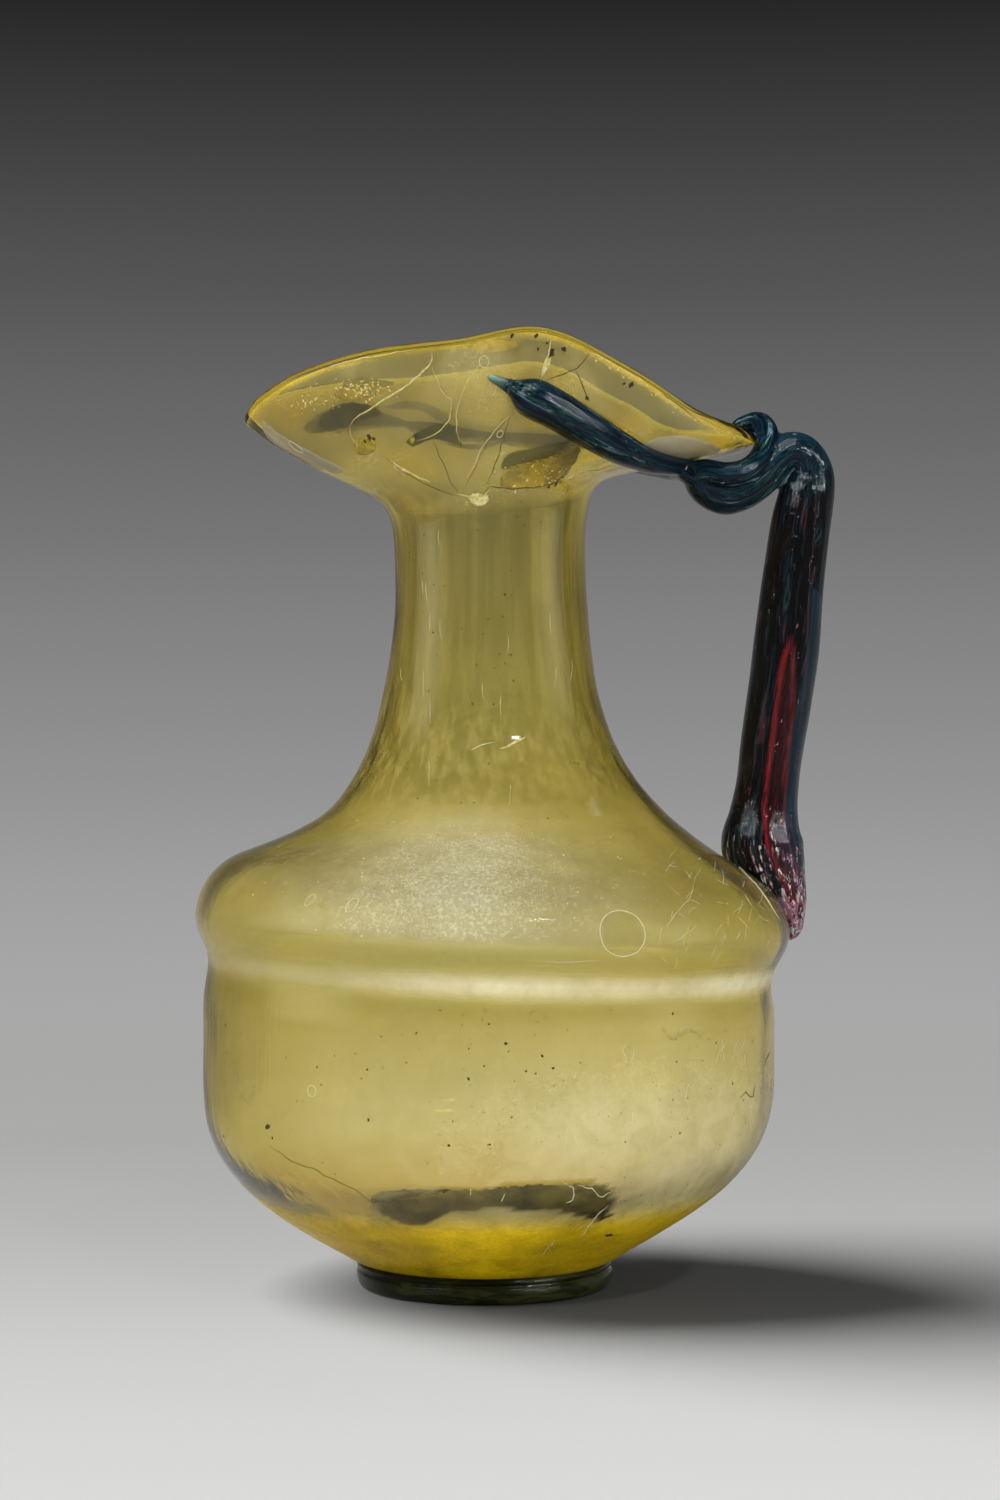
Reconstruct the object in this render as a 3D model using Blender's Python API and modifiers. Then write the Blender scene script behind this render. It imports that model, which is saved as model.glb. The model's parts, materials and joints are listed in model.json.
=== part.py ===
"""Glass oinochoe: a blown jug with a folded trefoil mouth, an applied handle that grips the rim
with a looped knot and runs out along both sides of the lip, and an applied foot coil.

Frame: metres, +Z up, spout toward -X, handle toward +X. The origin is the middle of the bounding
box on the surface the foot stands on. Working dimensions below are millimetres from the jug's own
axis; MM turns them into metres when a mesh is made.
"""

import math

import bmesh
import bpy
from mathutils import Vector

MM = 0.001

# ---------------------------------------------------------------- driving dimensions (mm, degrees)
SEGMENTS = 40  # meridians of the turned glass

# Foot coil
FOOT_FLAT_INNER = 20.3  # the ring-shaped flat it stands on
FOOT_FLAT_OUTER = 22.3
FOOT_OUTER = 23.4
FOOT_INNER = 19.3
SEAT_GAP = 0.3  # gap kept between the coil, the handle and the blown glass

# Blown outline, as radius and height of its stations from the underside up to the neck
BOTTOM_CENTRE = 5.2  # the underside is pushed in a little
BOWL_STATIONS = ((18.0, 3.9), (23.4, 5.0), (26.2, 6.6), (29.6, 8.6), (33.6, 11.0), (37.6, 13.6), (41.4, 16.4), (44.8, 19.3), (48.0, 23.0), (50.3, 27.0), (51.7, 31.4))
BARREL_RADIUS = 52.3
BARREL_HEIGHTS = (37.0, 45.0, 52.0)
GROOVE_RADIUS, GROOVE_HEIGHT = 51.5, 57.2
RIDGE_RADIUS, RIDGE_HEIGHT = 54.6, 66.0
SHOULDER_STATIONS = ((54.1, 69.2), (52.8, 72.2), (50.6, 75.0), (47.4, 77.3), (43.1, 79.4), (37.2, 82.6), (32.0, 86.1))
NECK_FOOT_HEIGHT, NECK_FOOT_RADIUS = 86.1, 32.0  # where the shoulder turns up into the neck
NECK_WAIST_RADIUS = 16.7
NECK_FLARE = 13.9  # height over which the neck's flare falls to 1/e
NECK_TOP = 139.0
NECK_TOP_RADIUS = 17.1

# Mouth: the lip leaves the neck at LIP_START and ends in the rim
LIP_START_HANDLE, LIP_START_SPOUT = 145.0, 140.5
LIP_ROOT_RADIUS = 17.3
REACH_HANDLE, REACH_SPOUT, REACH_SIDE = 49.1, 45.7, 27.6
SPOUT_PINCH = 0.5  # share by which the rim narrows toward the spout
RIM_HEIGHTS = ((0, 155.5), (20, 156.3), (40, 159.2), (60, 166.9), (79, 173.3), (97, 171.2), (118, 169.6), (140, 166.3), (160, 162.3), (180, 159.0))
LIP_ROWS = 8

# Wall thickness
WALL = 1.6
WALL_BOTTOM = 3.4
WALL_RIM = 2.4

# The blown body settled a little while hot
SHOULDER_TILT = 0.037  # slope of the ridge and the groove, lower toward the handle
AXIS_DRIFT = ((0.0, -0.7), (12.0, -1.1), (20.0, -0.6), (35.0, 0.1), (58.0, 0.3), (68.0, 0.9), (78.0, 0.9), (88.0, 1.45), (96.0, 0.95), (108.0, 0.5), (124.0, 0.6), (139.0, 0.2), (152.0, 0.5), (200.0, 0.5))

# Handle strap, bottom to top: distance from the axis, height, half width
STRAP = (
    (55.6, 63.2, 2.4), (55.0, 66.5, 3.3), (54.1, 70.0, 4.8), (52.0, 75.3, 6.7), (50.4, 80.8, 7.6), (50.7, 86.3, 6.35), (51.5, 92.5, 5.75),
    (52.5, 100.5, 5.9), (54.6, 115.0, 6.15), (56.0, 127.7, 5.8), (57.5, 139.5, 5.5), (58.5, 145.5, 5.1), (58.7, 151.0, 4.6),
)
STRAP_DEPTH = 0.95  # depth of the strap beside its width

# Fold and knot, one drawn rod: x, y, z, radius
KNOT = (
    (58.4, 0.0, 127.0, 2.6), (59.6, 0.0, 137.0, 3.1), (60.2, 0.0, 144.4, 3.5), (59.9, -0.2, 149.0, 3.7), (58.0, -0.6, 152.2, 3.75),
    (55.2, -1.1, 152.9, 3.75), (52.4, -1.7, 151.0, 3.7), (49.7, -2.4, 148.0, 3.6), (46.5, -3.1, 145.6, 3.5), (43.0, -3.9, 144.7, 3.4),
    (39.8, -4.9, 145.9, 3.1), (38.3, -6.1, 148.2, 2.75), (40.0, -7.2, 148.9, 2.4), (43.0, -7.6, 148.5, 2.25), (46.4, -6.9, 149.1, 2.2),
    (49.2, -5.1, 151.1, 2.15), (51.0, -2.2, 154.2, 2.15), (51.3, 0.8, 157.0, 2.1), (50.0, 2.9, 158.8, 2.0), (47.6, 4.3, 158.2, 2.0), (45.3, 5.2, 157.0, 1.9),
)

# Trails along the lip: angle around the mouth, place on the lip from root to rim, radius
NEAR_TRAIL = ((-16, 0.56, 1.95), (-27, 0.55, 2.05), (-40, 0.56, 2.45), (-54, 0.605, 3.0), (-66, 0.665, 3.35), (-75, 0.72, 3.55), (-81.5, 0.76, 3.45), (-85.5, 0.795, 1.5), (-91, 0.85, 0.55))
FAR_TRAIL = ((16, 0.58, 2.0), (28, 0.61, 2.0), (45, 0.635, 2.1), (62, 0.63, 2.3), (78, 0.625, 2.4), (92, 0.65, 2.3), (106, 0.72, 2.2), (118, 0.79, 2.6), (132, 0.81, 2.4), (144, 0.80, 0.9))
TRAIL_STAND = 0.55  # how far out of the glass a trail's middle lies, as a share of its radius


# ---------------------------------------------------------------- helpers
def lerp(a, b, t):
    return a + (b - a) * t


def smooth(x):
    x = min(max(x, 0.0), 1.0)
    return x * x * (3.0 - 2.0 * x)


def through(stations, spans):
    """Points of a smooth curve through the stations, spans of them to each station."""
    n = len(stations)
    out = []
    for i in range(n - 1):
        p0 = stations[max(i - 1, 0)]
        p1, p2 = stations[i], stations[i + 1]
        p3 = stations[min(i + 2, n - 1)]
        for k in range(spans):
            f = k / spans
            out.append(tuple(0.5 * (2 * b + (c - a) * f + (2 * a - 5 * b + 4 * c - d) * f * f + (3 * b - a - 3 * c + d) * f**3) for a, b, c, d in zip(p0, p1, p2, p3)))
    out.append(tuple(stations[-1]))
    return out


def neck_radius(z):
    """Neck flare: it falls off exponentially above the shoulder."""
    flare = (NECK_FOOT_RADIUS - NECK_WAIST_RADIUS) * math.exp((NECK_FOOT_HEIGHT - z) / NECK_FLARE)
    opening = (NECK_TOP_RADIUS - NECK_WAIST_RADIUS) * smooth((z - 125.0) / 14.0)
    return NECK_WAIST_RADIUS + flare + opening


def outline():
    """Radius and height of the blown outline, from the middle of the underside to the neck's top."""
    stations = [(0.0, BOTTOM_CENTRE), (9.0, BOTTOM_CENTRE - 0.5)]
    stations += BOWL_STATIONS
    stations += [(BARREL_RADIUS, z) for z in BARREL_HEIGHTS]
    stations += [(GROOVE_RADIUS, GROOVE_HEIGHT), (GROOVE_RADIUS + 0.6, 60.4), (RIDGE_RADIUS - 0.9, 63.2), (RIDGE_RADIUS, RIDGE_HEIGHT)]
    stations += SHOULDER_STATIONS
    points = through(stations, 1)
    z = NECK_FOOT_HEIGHT
    step = 2.9
    while z + step < NECK_TOP - 2.0:
        z += step
        points.append((neck_radius(z), z))
        step = min(step * 1.32, 11.0)
    points.append((NECK_TOP_RADIUS, NECK_TOP))
    return points


def rim_height(angle):
    """Height of the rim at an angle from the handle, the same on both sides of the mouth."""
    a = abs((math.degrees(angle) + 180.0) % 360.0 - 180.0)
    marks = [(-RIM_HEIGHTS[1][0], RIM_HEIGHTS[1][1])] + list(RIM_HEIGHTS) + [(360 - RIM_HEIGHTS[-2][0], RIM_HEIGHTS[-2][1])]
    i = 1
    while i < len(marks) - 3 and a > marks[i + 1][0]:
        i += 1
    (x0, y0), (x1, y1), (x2, y2), (x3, y3) = marks[i - 1 : i + 3]
    m1, m2, h = (y2 - y0) / (x2 - x0), (y3 - y1) / (x3 - x1), x2 - x1
    f = (a - x1) / h
    return (2 * f**3 - 3 * f * f + 1) * y1 + (f**3 - 2 * f * f + f) * h * m1 + (3 * f * f - 2 * f**3) * y2 + (f**3 - f * f) * h * m2


def lip_point(angle, t):
    """A point on the lip's outside, t from 0 at the neck to 1 at the rim."""
    c, s = math.cos(angle), math.sin(angle)
    end, side = (1.0 - c) / 2.0, s * s
    z0 = lerp(LIP_START_HANDLE, LIP_START_SPOUT, end)
    reach_x = lerp(REACH_HANDLE, REACH_SPOUT, end)
    reach_y = REACH_SIDE * (1.0 - SPOUT_PINCH * max(0.0, -c) ** 3)
    out1, up1 = lerp(0.03, 0.08, side), lerp(lerp(6.6, 5.2, end), 5.4, side)
    out2, high2 = lerp(lerp(0.97, 0.69, end), 1.0, side), lerp(149.5, 153.6, side)
    b0, b1, b2, b3 = (1 - t) ** 3, 3 * (1 - t) ** 2 * t, 3 * (1 - t) * t * t, t**3
    out = b1 * out1 + b2 * out2 + b3
    z = b0 * z0 + b1 * (z0 + up1) + b2 * high2 + b3 * rim_height(angle)
    return ((LIP_ROOT_RADIUS + (reach_x - LIP_ROOT_RADIUS) * out) * c, (LIP_ROOT_RADIUS + (reach_y - LIP_ROOT_RADIUS) * out) * s, z)


def settled(p):
    """The same point after the hot glass has sagged and drifted off the axis."""
    x, y, z = p
    lean = smooth((z - 34.0) / 22.0) * (1.0 - smooth((z - 76.0) / 12.0))
    drift = AXIS_DRIFT[-1][1]
    for (z0, d0), (z1, d1) in zip(AXIS_DRIFT, AXIS_DRIFT[1:]):
        if z0 <= z <= z1:
            drift = lerp(d0, d1, (z - z0) / (z1 - z0))
    return (x + drift, y, z - SHOULDER_TILT * x * lean)


def lip_frame(angle, t):
    """A settled point on the lip and the direction out of the glass there."""
    e = 0.002
    p = Vector(settled(lip_point(angle, t)))
    along = Vector(settled(lip_point(angle + e, t))) - Vector(settled(lip_point(angle - e, t)))
    up = Vector(settled(lip_point(angle, min(t + e, 1.0)))) - Vector(settled(lip_point(angle, max(t - e, 0.0))))
    return p, along.cross(up).normalized()


def new_collection(name):
    found = bpy.data.collections.get(name)
    if found is not None:
        bpy.data.collections.remove(found)
    made = bpy.data.collections.new(name)
    bpy.context.scene.collection.children.link(made)
    return made


def material(name, colour, roughness, transmission):
    made = bpy.data.materials.new(name)
    made.use_nodes = True
    shader = made.node_tree.nodes["Principled BSDF"]
    shader.inputs["Base Color"].default_value = (*colour, 1.0)
    shader.inputs["Roughness"].default_value = roughness
    shader.inputs["Metallic"].default_value = 0.0
    shader.inputs["Transmission Weight"].default_value = transmission
    made.diffuse_color = (*colour, 1.0)
    return made


def turned(name, profile, segments=SEGMENTS):
    """A mesh turned about Z from a profile that runs down its outer side."""
    wire = bpy.data.meshes.new(name + ".profile")
    wire.from_pydata([(r * MM, 0.0, z * MM) for r, z in profile], [(i, i + 1) for i in range(len(profile) - 1)], [])
    lathe = bpy.data.objects.new(name + ".lathe", wire)
    bpy.context.scene.collection.objects.link(lathe)
    screw = lathe.modifiers.new("turn", "SCREW")
    screw.axis = "Z"
    screw.angle = 2.0 * math.pi
    screw.steps = screw.render_steps = segments
    screw.use_merge_vertices = True
    screw.merge_threshold = 0.00001
    screw.use_smooth_shade = True
    return realised(name, lathe)


def realised(name, source):
    """The evaluated mesh of an object, welded, as a new mesh; the source goes."""
    bpy.context.view_layer.update()
    graph = bpy.context.evaluated_depsgraph_get()
    mesh = bpy.data.meshes.new_from_object(source.evaluated_get(graph))
    mesh.transform(source.matrix_world)
    mesh.name = name
    bpy.data.objects.remove(source, do_unlink=True)
    shape = bmesh.new()
    shape.from_mesh(mesh)
    bmesh.ops.remove_doubles(shape, verts=shape.verts, dist=0.00001)
    shape.to_mesh(mesh)
    shape.free()
    return mesh


def placed(name, mesh, collection, look=None):
    ob = bpy.data.objects.new(name, mesh)
    collection.objects.link(ob)
    if look is not None:
        mesh.materials.clear()
        mesh.materials.append(look)
    return ob


def as_cutter(ob):
    ob.hide_render = True
    ob.display_type = "WIRE"
    return ob


def boolean(ob, other, operation):
    cut = ob.modifiers.new(operation.lower() + " " + other.name, "BOOLEAN")
    cut.operation = operation
    cut.solver = "EXACT"
    cut.object = other
    cut.use_self = True  # the knot's rod touches itself
    return cut


def tube(name, path, sides=3, round_start=True, round_end=True):
    """A rod of changing radius along a path of (x, y, z, radius), with rounded ends."""
    lengths = [0.0]
    for a, b in zip(path, path[1:]):
        lengths.append(lengths[-1] + math.dist(a[:3], b[:3]))
    total = lengths[-1]
    points = []
    for (x, y, z, r), run in zip(path, lengths):
        k = 1.0
        if round_start and run < r:
            k = min(k, math.sqrt(max(1.0 - (1.0 - run / r) ** 2, 0.09)))
        if round_end and total - run < r:
            k = min(k, math.sqrt(max(1.0 - (1.0 - (total - run) / r) ** 2, 0.09)))
        points.append((x, y, z, r * k))
    curve = bpy.data.curves.new(name + ".rod", "CURVE")
    curve.dimensions = "3D"
    curve.bevel_depth = MM
    curve.bevel_resolution = sides
    curve.use_fill_caps = True
    spline = curve.splines.new("POLY")
    spline.points.add(len(points) - 1)
    for knot, (x, y, z, r) in zip(spline.points, points):
        knot.co = (x * MM, y * MM, z * MM, 1.0)
        knot.radius = r
    ob = bpy.data.objects.new(name + ".rod", curve)
    bpy.context.scene.collection.objects.link(ob)
    return realised(name, ob)


# ---------------------------------------------------------------- start from an empty scene
for old in list(bpy.data.objects):
    bpy.data.objects.remove(old, do_unlink=True)

parts = new_collection("glass_oinochoe")
cutters = new_collection("cutters")

yellow = material("yellow_glass", (0.72, 0.60, 0.22), 0.06, 1.0)
dark = material("dark_handle_glass", (0.012, 0.035, 0.045), 0.12, 0.0)
olive = material("dark_olive_glass", (0.030, 0.040, 0.012), 0.15, 0.0)

# ---------------------------------------------------------------- blown vessel
# The mouth is first turned as a straight collar over the neck, COLLAR high; each of its rings is
# then carried out to its own place on the folded lip.
COLLAR = 20.0
BLOWN = outline()


def blown_surface(name, grow=0.0, over_rim=0.0):
    """The outer surface, open at the rim, grown outward by grow and past the rim by over_rim."""
    rows = [(LIP_ROOT_RADIUS, NECK_TOP + COLLAR * (k + 1) / LIP_ROWS) for k in range(LIP_ROWS)]
    mesh = turned(name, [(r, z) for r, z in reversed(BLOWN + rows)])
    places, inner = [], []
    for v in mesh.vertices:
        x, y, z = v.co / MM
        angle = math.atan2(y, x)
        t = (z - NECK_TOP) / COLLAR
        if t > 0.001:
            t = min(t, 1.0)
            p, n = lip_frame(angle, t)
            thick = lerp(WALL, WALL_RIM, smooth((t - 0.55) / 0.45))
            if over_rim and t > 0.999:
                q, _ = lip_frame(angle, 0.97)
                p = p + (p - q).normalized() * over_rim
        else:
            p = Vector(settled((x, y, z)))
            n = v.normal
            thick = lerp(WALL_BOTTOM, WALL, smooth((z - 5.0) / 26.0))
        places.append((p + n * grow) * MM)
        inner.append(thick)
    for v, p in zip(mesh.vertices, places):
        v.co = p
    mesh.update()
    return mesh, inner


def walled(ob, inner, extra=0.0):
    """Solidify the surface inward by each vertex's own wall thickness."""
    thickest = max(inner) + extra
    group = ob.vertex_groups.new(name="wall")
    for i, thick in enumerate(inner):
        group.add([i], (thick + extra) / thickest, "REPLACE")
    shell = ob.modifiers.new("wall", "SOLIDIFY")
    shell.thickness = thickest * MM
    shell.offset = -1.0
    shell.use_even_offset = False
    shell.vertex_group = "wall"
    shell.use_rim = True
    return shell


surface, walls = blown_surface("vessel")
vessel = placed("vessel", surface, parts, yellow)
walled(vessel, walls)

# ---------------------------------------------------------------- foot coil
def underside(radius):
    """Height of the blown underside at a radius."""
    for (r0, z0), (r1, z1) in zip(BLOWN, BLOWN[1:]):
        if r0 <= radius <= r1:
            return lerp(z0, z1, (radius - r0) / (r1 - r0))
    return BLOWN[0][1]


def seat(radius):
    return (radius, underside(radius) - SEAT_GAP)


coil = [
    seat(22.9), (FOOT_OUTER, 3.3), (FOOT_OUTER + 0.1, 2.1), (FOOT_OUTER - 0.3, 0.7), (FOOT_FLAT_OUTER, 0.0),
    (FOOT_FLAT_INNER, 0.0), (FOOT_INNER + 0.3, 0.6), (FOOT_INNER, 2.0), seat(19.8), seat(21.4), seat(22.9),
]
ring_mesh = turned("foot_ring", coil, 40)
for v in ring_mesh.vertices:
    v.co = Vector(settled(v.co / MM)) * MM
foot_ring = placed("foot_ring", ring_mesh, parts, olive)

# ---------------------------------------------------------------- handle
strap_mesh = tube("handle", through([(x, 0.0, z, r) for x, z, r in STRAP], 2), sides=3)
for v in strap_mesh.vertices:
    v.co.y *= STRAP_DEPTH
handle = placed("handle", strap_mesh, parts, dark)

rod = as_cutter(placed("knot_rod", tube("knot_rod", through(KNOT, 2), sides=2, round_start=False), cutters))


def trail(name, stations, lead):
    """A trail on the lip's outside, led in from the knot."""
    path = list(lead)
    for degrees, t, r in stations:
        p, n = lip_frame(math.radians(degrees), t)
        p = p + n * (r * TRAIL_STAND)
        path.append((p.x, p.y, p.z, r))
    return as_cutter(placed(name, tube(name, through(path, 2), sides=2, round_start=False), cutters))


near = trail("near_trail", NEAR_TRAIL, [(40.4, -5.6, 147.4, 1.9), (37.0, -7.2, 148.2, 1.95)])
far = trail("far_trail", FAR_TRAIL, [(40.6, -4.2, 147.0, 1.9), (38.6, 0.6, 147.9, 1.95)])

# The glass under the handle, grown by the gap: a filled core below the mouth and the lip's wall
core_profile = [(r + SEAT_GAP, z) for r, z in BLOWN if 40.0 < z <= NECK_TOP]
core_profile = [(0.0, 40.0), (core_profile[0][0], 40.0)] + core_profile + [(0.0, core_profile[-1][1])]
core_mesh = turned("glass_core", list(reversed(core_profile)))
for v in core_mesh.vertices:
    v.co = Vector(settled(v.co / MM)) * MM
core = as_cutter(placed("glass_core", core_mesh, cutters))
# the shoulder slopes, so the gap square to it comes from growing the core along its normals
grown, grown_walls = blown_surface("lip_wall", grow=SEAT_GAP, over_rim=SEAT_GAP)
lip_wall = as_cutter(placed("lip_wall", grown, cutters))
walled(lip_wall, grown_walls, extra=2.0 * SEAT_GAP)

boolean(handle, rod, "UNION")
boolean(handle, near, "UNION")
boolean(handle, far, "UNION")
boolean(handle, lip_wall, "DIFFERENCE")
boolean(handle, core, "DIFFERENCE")

# ---------------------------------------------------------------- one frame for all
bpy.context.view_layer.update()
graph = bpy.context.evaluated_depsgraph_get()
low, high = 1e9, -1e9
for ob in parts.objects:
    for corner in ob.evaluated_get(graph).bound_box:
        low, high = min(low, corner[0]), max(high, corner[0])
base = bpy.data.objects.new("base", None)
parts.objects.link(base)
base.location = (-(low + high) / 2.0, 0.0, 0.0)
for ob in list(parts.objects) + list(cutters.objects):
    if ob is not base:
        ob.parent = base
bpy.context.view_layer.update()
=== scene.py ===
"""Looks of the glass oinochoe: the blown vessel, the applied handle and the foot coil, made fine around
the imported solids, with the light, the floor and the camera.

Row frame: metres, +Z up, handle toward +X. Working sizes are millimetres from the jug's own axis.
"""

import json
import math

import bmesh
import bpy
import numpy as np
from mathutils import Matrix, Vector, kdtree
from mathutils.bvhtree import BVHTree
from mathutils.geometry import delaunay_2d_cdt

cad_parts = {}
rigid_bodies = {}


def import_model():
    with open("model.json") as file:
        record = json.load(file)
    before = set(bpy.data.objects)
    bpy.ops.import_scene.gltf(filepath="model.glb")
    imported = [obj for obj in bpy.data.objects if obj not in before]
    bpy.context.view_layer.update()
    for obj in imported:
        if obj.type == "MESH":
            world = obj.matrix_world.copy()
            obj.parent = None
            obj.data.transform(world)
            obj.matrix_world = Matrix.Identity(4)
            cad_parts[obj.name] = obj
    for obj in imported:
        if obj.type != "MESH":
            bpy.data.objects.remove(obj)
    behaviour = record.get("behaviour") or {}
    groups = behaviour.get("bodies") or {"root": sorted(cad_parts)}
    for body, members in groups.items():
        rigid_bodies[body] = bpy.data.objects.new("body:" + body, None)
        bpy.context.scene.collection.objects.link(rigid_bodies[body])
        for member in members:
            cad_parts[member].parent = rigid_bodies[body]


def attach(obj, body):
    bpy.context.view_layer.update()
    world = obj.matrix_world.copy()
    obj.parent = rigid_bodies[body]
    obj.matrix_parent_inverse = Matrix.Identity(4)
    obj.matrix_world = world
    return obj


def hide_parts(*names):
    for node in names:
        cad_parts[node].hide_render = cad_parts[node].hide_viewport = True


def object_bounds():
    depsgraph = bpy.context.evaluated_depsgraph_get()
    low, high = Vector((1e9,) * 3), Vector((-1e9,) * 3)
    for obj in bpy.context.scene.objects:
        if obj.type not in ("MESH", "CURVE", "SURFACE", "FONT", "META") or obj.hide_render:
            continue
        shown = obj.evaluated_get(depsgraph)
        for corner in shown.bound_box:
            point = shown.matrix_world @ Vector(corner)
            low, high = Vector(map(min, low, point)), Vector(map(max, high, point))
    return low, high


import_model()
CAD_LOW, CAD_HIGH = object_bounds()
CAD_LOW, CAD_HIGH = Vector(CAD_LOW), Vector(CAD_HIGH)

MM = 0.001
AXIS_X = -4.9992  # the jug's own axis in the row frame
rng = np.random.default_rng(7)

# ---------------------------------------------------------------- the shape's sizes (mm, degrees)
BOTTOM_CENTRE = 5.2
BOWL_STATIONS = ((18.0, 3.9), (23.4, 5.0), (26.2, 6.6), (29.6, 8.6), (33.6, 11.0), (37.6, 13.6), (41.4, 16.4), (44.8, 19.3), (48.0, 23.0), (50.3, 27.0), (51.7, 31.4))
BARREL_RADIUS = 52.3
BARREL_HEIGHTS = (37.0, 45.0, 52.0)
GROOVE_RADIUS, GROOVE_HEIGHT = 51.5, 57.2
RIDGE_RADIUS, RIDGE_HEIGHT = 54.6, 66.0
SHOULDER_STATIONS = ((54.1, 69.2), (52.8, 72.2), (50.6, 75.0), (47.4, 77.3), (43.1, 79.4), (37.2, 82.6), (32.0, 86.1))
NECK_FOOT_HEIGHT, NECK_FOOT_RADIUS = 86.1, 32.0
NECK_WAIST_RADIUS = 16.7
NECK_FLARE = 13.9
NECK_TOP = 139.0
NECK_TOP_RADIUS = 17.1
LIP_START_HANDLE, LIP_START_SPOUT = 145.0, 140.5
LIP_ROOT_RADIUS = 17.3
REACH_HANDLE, REACH_SPOUT, REACH_SIDE = 49.1, 45.7, 27.6
SPOUT_PINCH = 0.5
RIM_HEIGHTS = ((0, 155.5), (20, 156.3), (40, 159.2), (60, 166.9), (79, 173.3), (97, 171.2), (118, 169.6), (140, 166.3), (160, 162.3), (180, 159.0))
WALL, WALL_BOTTOM, WALL_RIM = 1.6, 3.4, 2.4
SHOULDER_TILT = 0.037
AXIS_DRIFT = ((0.0, -0.7), (12.0, -1.1), (20.0, -0.6), (35.0, 0.1), (58.0, 0.3), (68.0, 0.9), (78.0, 0.9), (88.0, 1.45), (96.0, 0.95), (108.0, 0.5), (124.0, 0.6), (139.0, 0.2), (152.0, 0.5), (200.0, 0.5))
STRAP = (
    (55.6, 63.2, 2.4), (55.0, 66.5, 3.3), (54.1, 70.0, 4.8), (52.0, 75.3, 6.7), (50.4, 80.8, 7.6), (50.7, 86.3, 6.35), (51.5, 92.5, 5.75),
    (52.5, 100.5, 5.9), (54.6, 115.0, 6.15), (56.0, 127.7, 5.8), (57.5, 139.5, 5.5), (58.5, 145.5, 5.1), (58.7, 151.0, 4.6),
)
STRAP_DEPTH = 0.95
KNOT = (
    (58.4, 0.0, 127.0, 2.6), (59.6, 0.0, 137.0, 3.1), (60.2, 0.0, 144.4, 3.5), (59.9, -0.2, 149.0, 3.7), (58.0, -0.6, 152.2, 3.75),
    (55.2, -1.1, 152.9, 3.75), (52.4, -1.7, 151.0, 3.7), (49.7, -2.4, 148.0, 3.6), (46.5, -3.1, 145.6, 3.5), (43.0, -3.9, 144.7, 3.4),
    (39.8, -4.9, 145.9, 3.1), (38.3, -6.1, 148.2, 2.75), (40.0, -7.2, 148.9, 2.4), (43.0, -7.6, 148.5, 2.25), (46.4, -6.9, 149.1, 2.2),
    (49.2, -5.1, 151.1, 2.15), (51.0, -2.2, 154.2, 2.15), (51.3, 0.8, 157.0, 2.1), (50.0, 2.9, 158.8, 2.0), (47.6, 4.3, 158.2, 2.0), (45.3, 5.2, 157.0, 1.9),
)
NEAR_TRAIL = ((-16, 0.56, 1.95), (-27, 0.55, 2.05), (-40, 0.56, 2.45), (-54, 0.605, 3.0), (-66, 0.665, 3.35), (-75, 0.72, 3.55), (-81.5, 0.76, 3.45), (-85.5, 0.795, 1.5), (-91, 0.85, 0.55))
FAR_TRAIL = ((16, 0.58, 2.0), (28, 0.61, 2.0), (45, 0.635, 2.1), (62, 0.635, 2.1), (74, 0.64, 2.0), (84, 0.66, 1.6), (93, 0.70, 1.5), (101, 0.745, 2.3), (108, 0.775, 1.9), (113, 0.80, 1.1), (119, 0.83, 2.0), (127, 0.85, 2.7), (134, 0.85, 2.5), (141, 0.84, 1.5), (147, 0.83, 0.6))
NEAR_LEAD = ((40.4, -5.6, 147.4, 1.9), (37.0, -7.2, 148.2, 1.95))
FAR_LEAD = ((40.6, -4.2, 147.0, 1.9), (38.6, 0.6, 147.9, 1.95))
TRAIL_STAND = 0.55
FUSED = 0.35  # how far applied glass sinks into the wall it is fused to

SEG = 208  # meridians of the fine mesh


# ---------------------------------------------------------------- small helpers
def smooth(x):
    x = np.clip(x, 0.0, 1.0)
    return x * x * (3.0 - 2.0 * x)


def lerp(a, b, t):
    return a + (b - a) * t


def through(stations, spans):
    n = len(stations)
    out = []
    for i in range(n - 1):
        p0, p1, p2, p3 = stations[max(i - 1, 0)], stations[i], stations[i + 1], stations[min(i + 2, n - 1)]
        for k in range(spans):
            f = k / spans
            out.append(tuple(0.5 * (2 * b + (c - a) * f + (2 * a - 5 * b + 4 * c - d) * f * f + (3 * b - a - 3 * c + d) * f**3) for a, b, c, d in zip(p0, p1, p2, p3)))
    out.append(tuple(stations[-1]))
    return out


class Waves:
    """A smooth, seeded unevenness: a sum of sines in space, near -1 to 1."""

    def __init__(self, seed, size, count=14):
        g = np.random.default_rng(seed)
        d = g.normal(size=(count, 3))
        d /= np.linalg.norm(d, axis=1)[:, None]
        self.k = d * (2 * math.pi / (size * g.uniform(0.6, 1.7, count)))[:, None]
        self.phase = g.uniform(0, 2 * math.pi, count)
        self.gain = 1.7 / count

    def __call__(self, p):
        out = np.zeros(p.shape[:-1])
        for k, f in zip(self.k, self.phase):
            out += np.sin(p @ k + f)
        return out * self.gain


def resampled(points, step):
    """Points at even steps along a polyline."""
    points = np.asarray(points, float)
    run = np.concatenate([[0.0], np.cumsum(np.linalg.norm(np.diff(points, axis=0), axis=1))])
    n = max(int(round(run[-1] / step)), 1)
    at = np.linspace(0.0, run[-1], n + 1)
    return np.stack([np.interp(at, run, points[:, k]) for k in range(points.shape[1])], axis=1)


def neck_radius(z):
    flare = (NECK_FOOT_RADIUS - NECK_WAIST_RADIUS) * math.exp((NECK_FOOT_HEIGHT - z) / NECK_FLARE)
    opening = (NECK_TOP_RADIUS - NECK_WAIST_RADIUS) * float(smooth((z - 125.0) / 14.0))
    return NECK_WAIST_RADIUS + flare + opening


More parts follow.
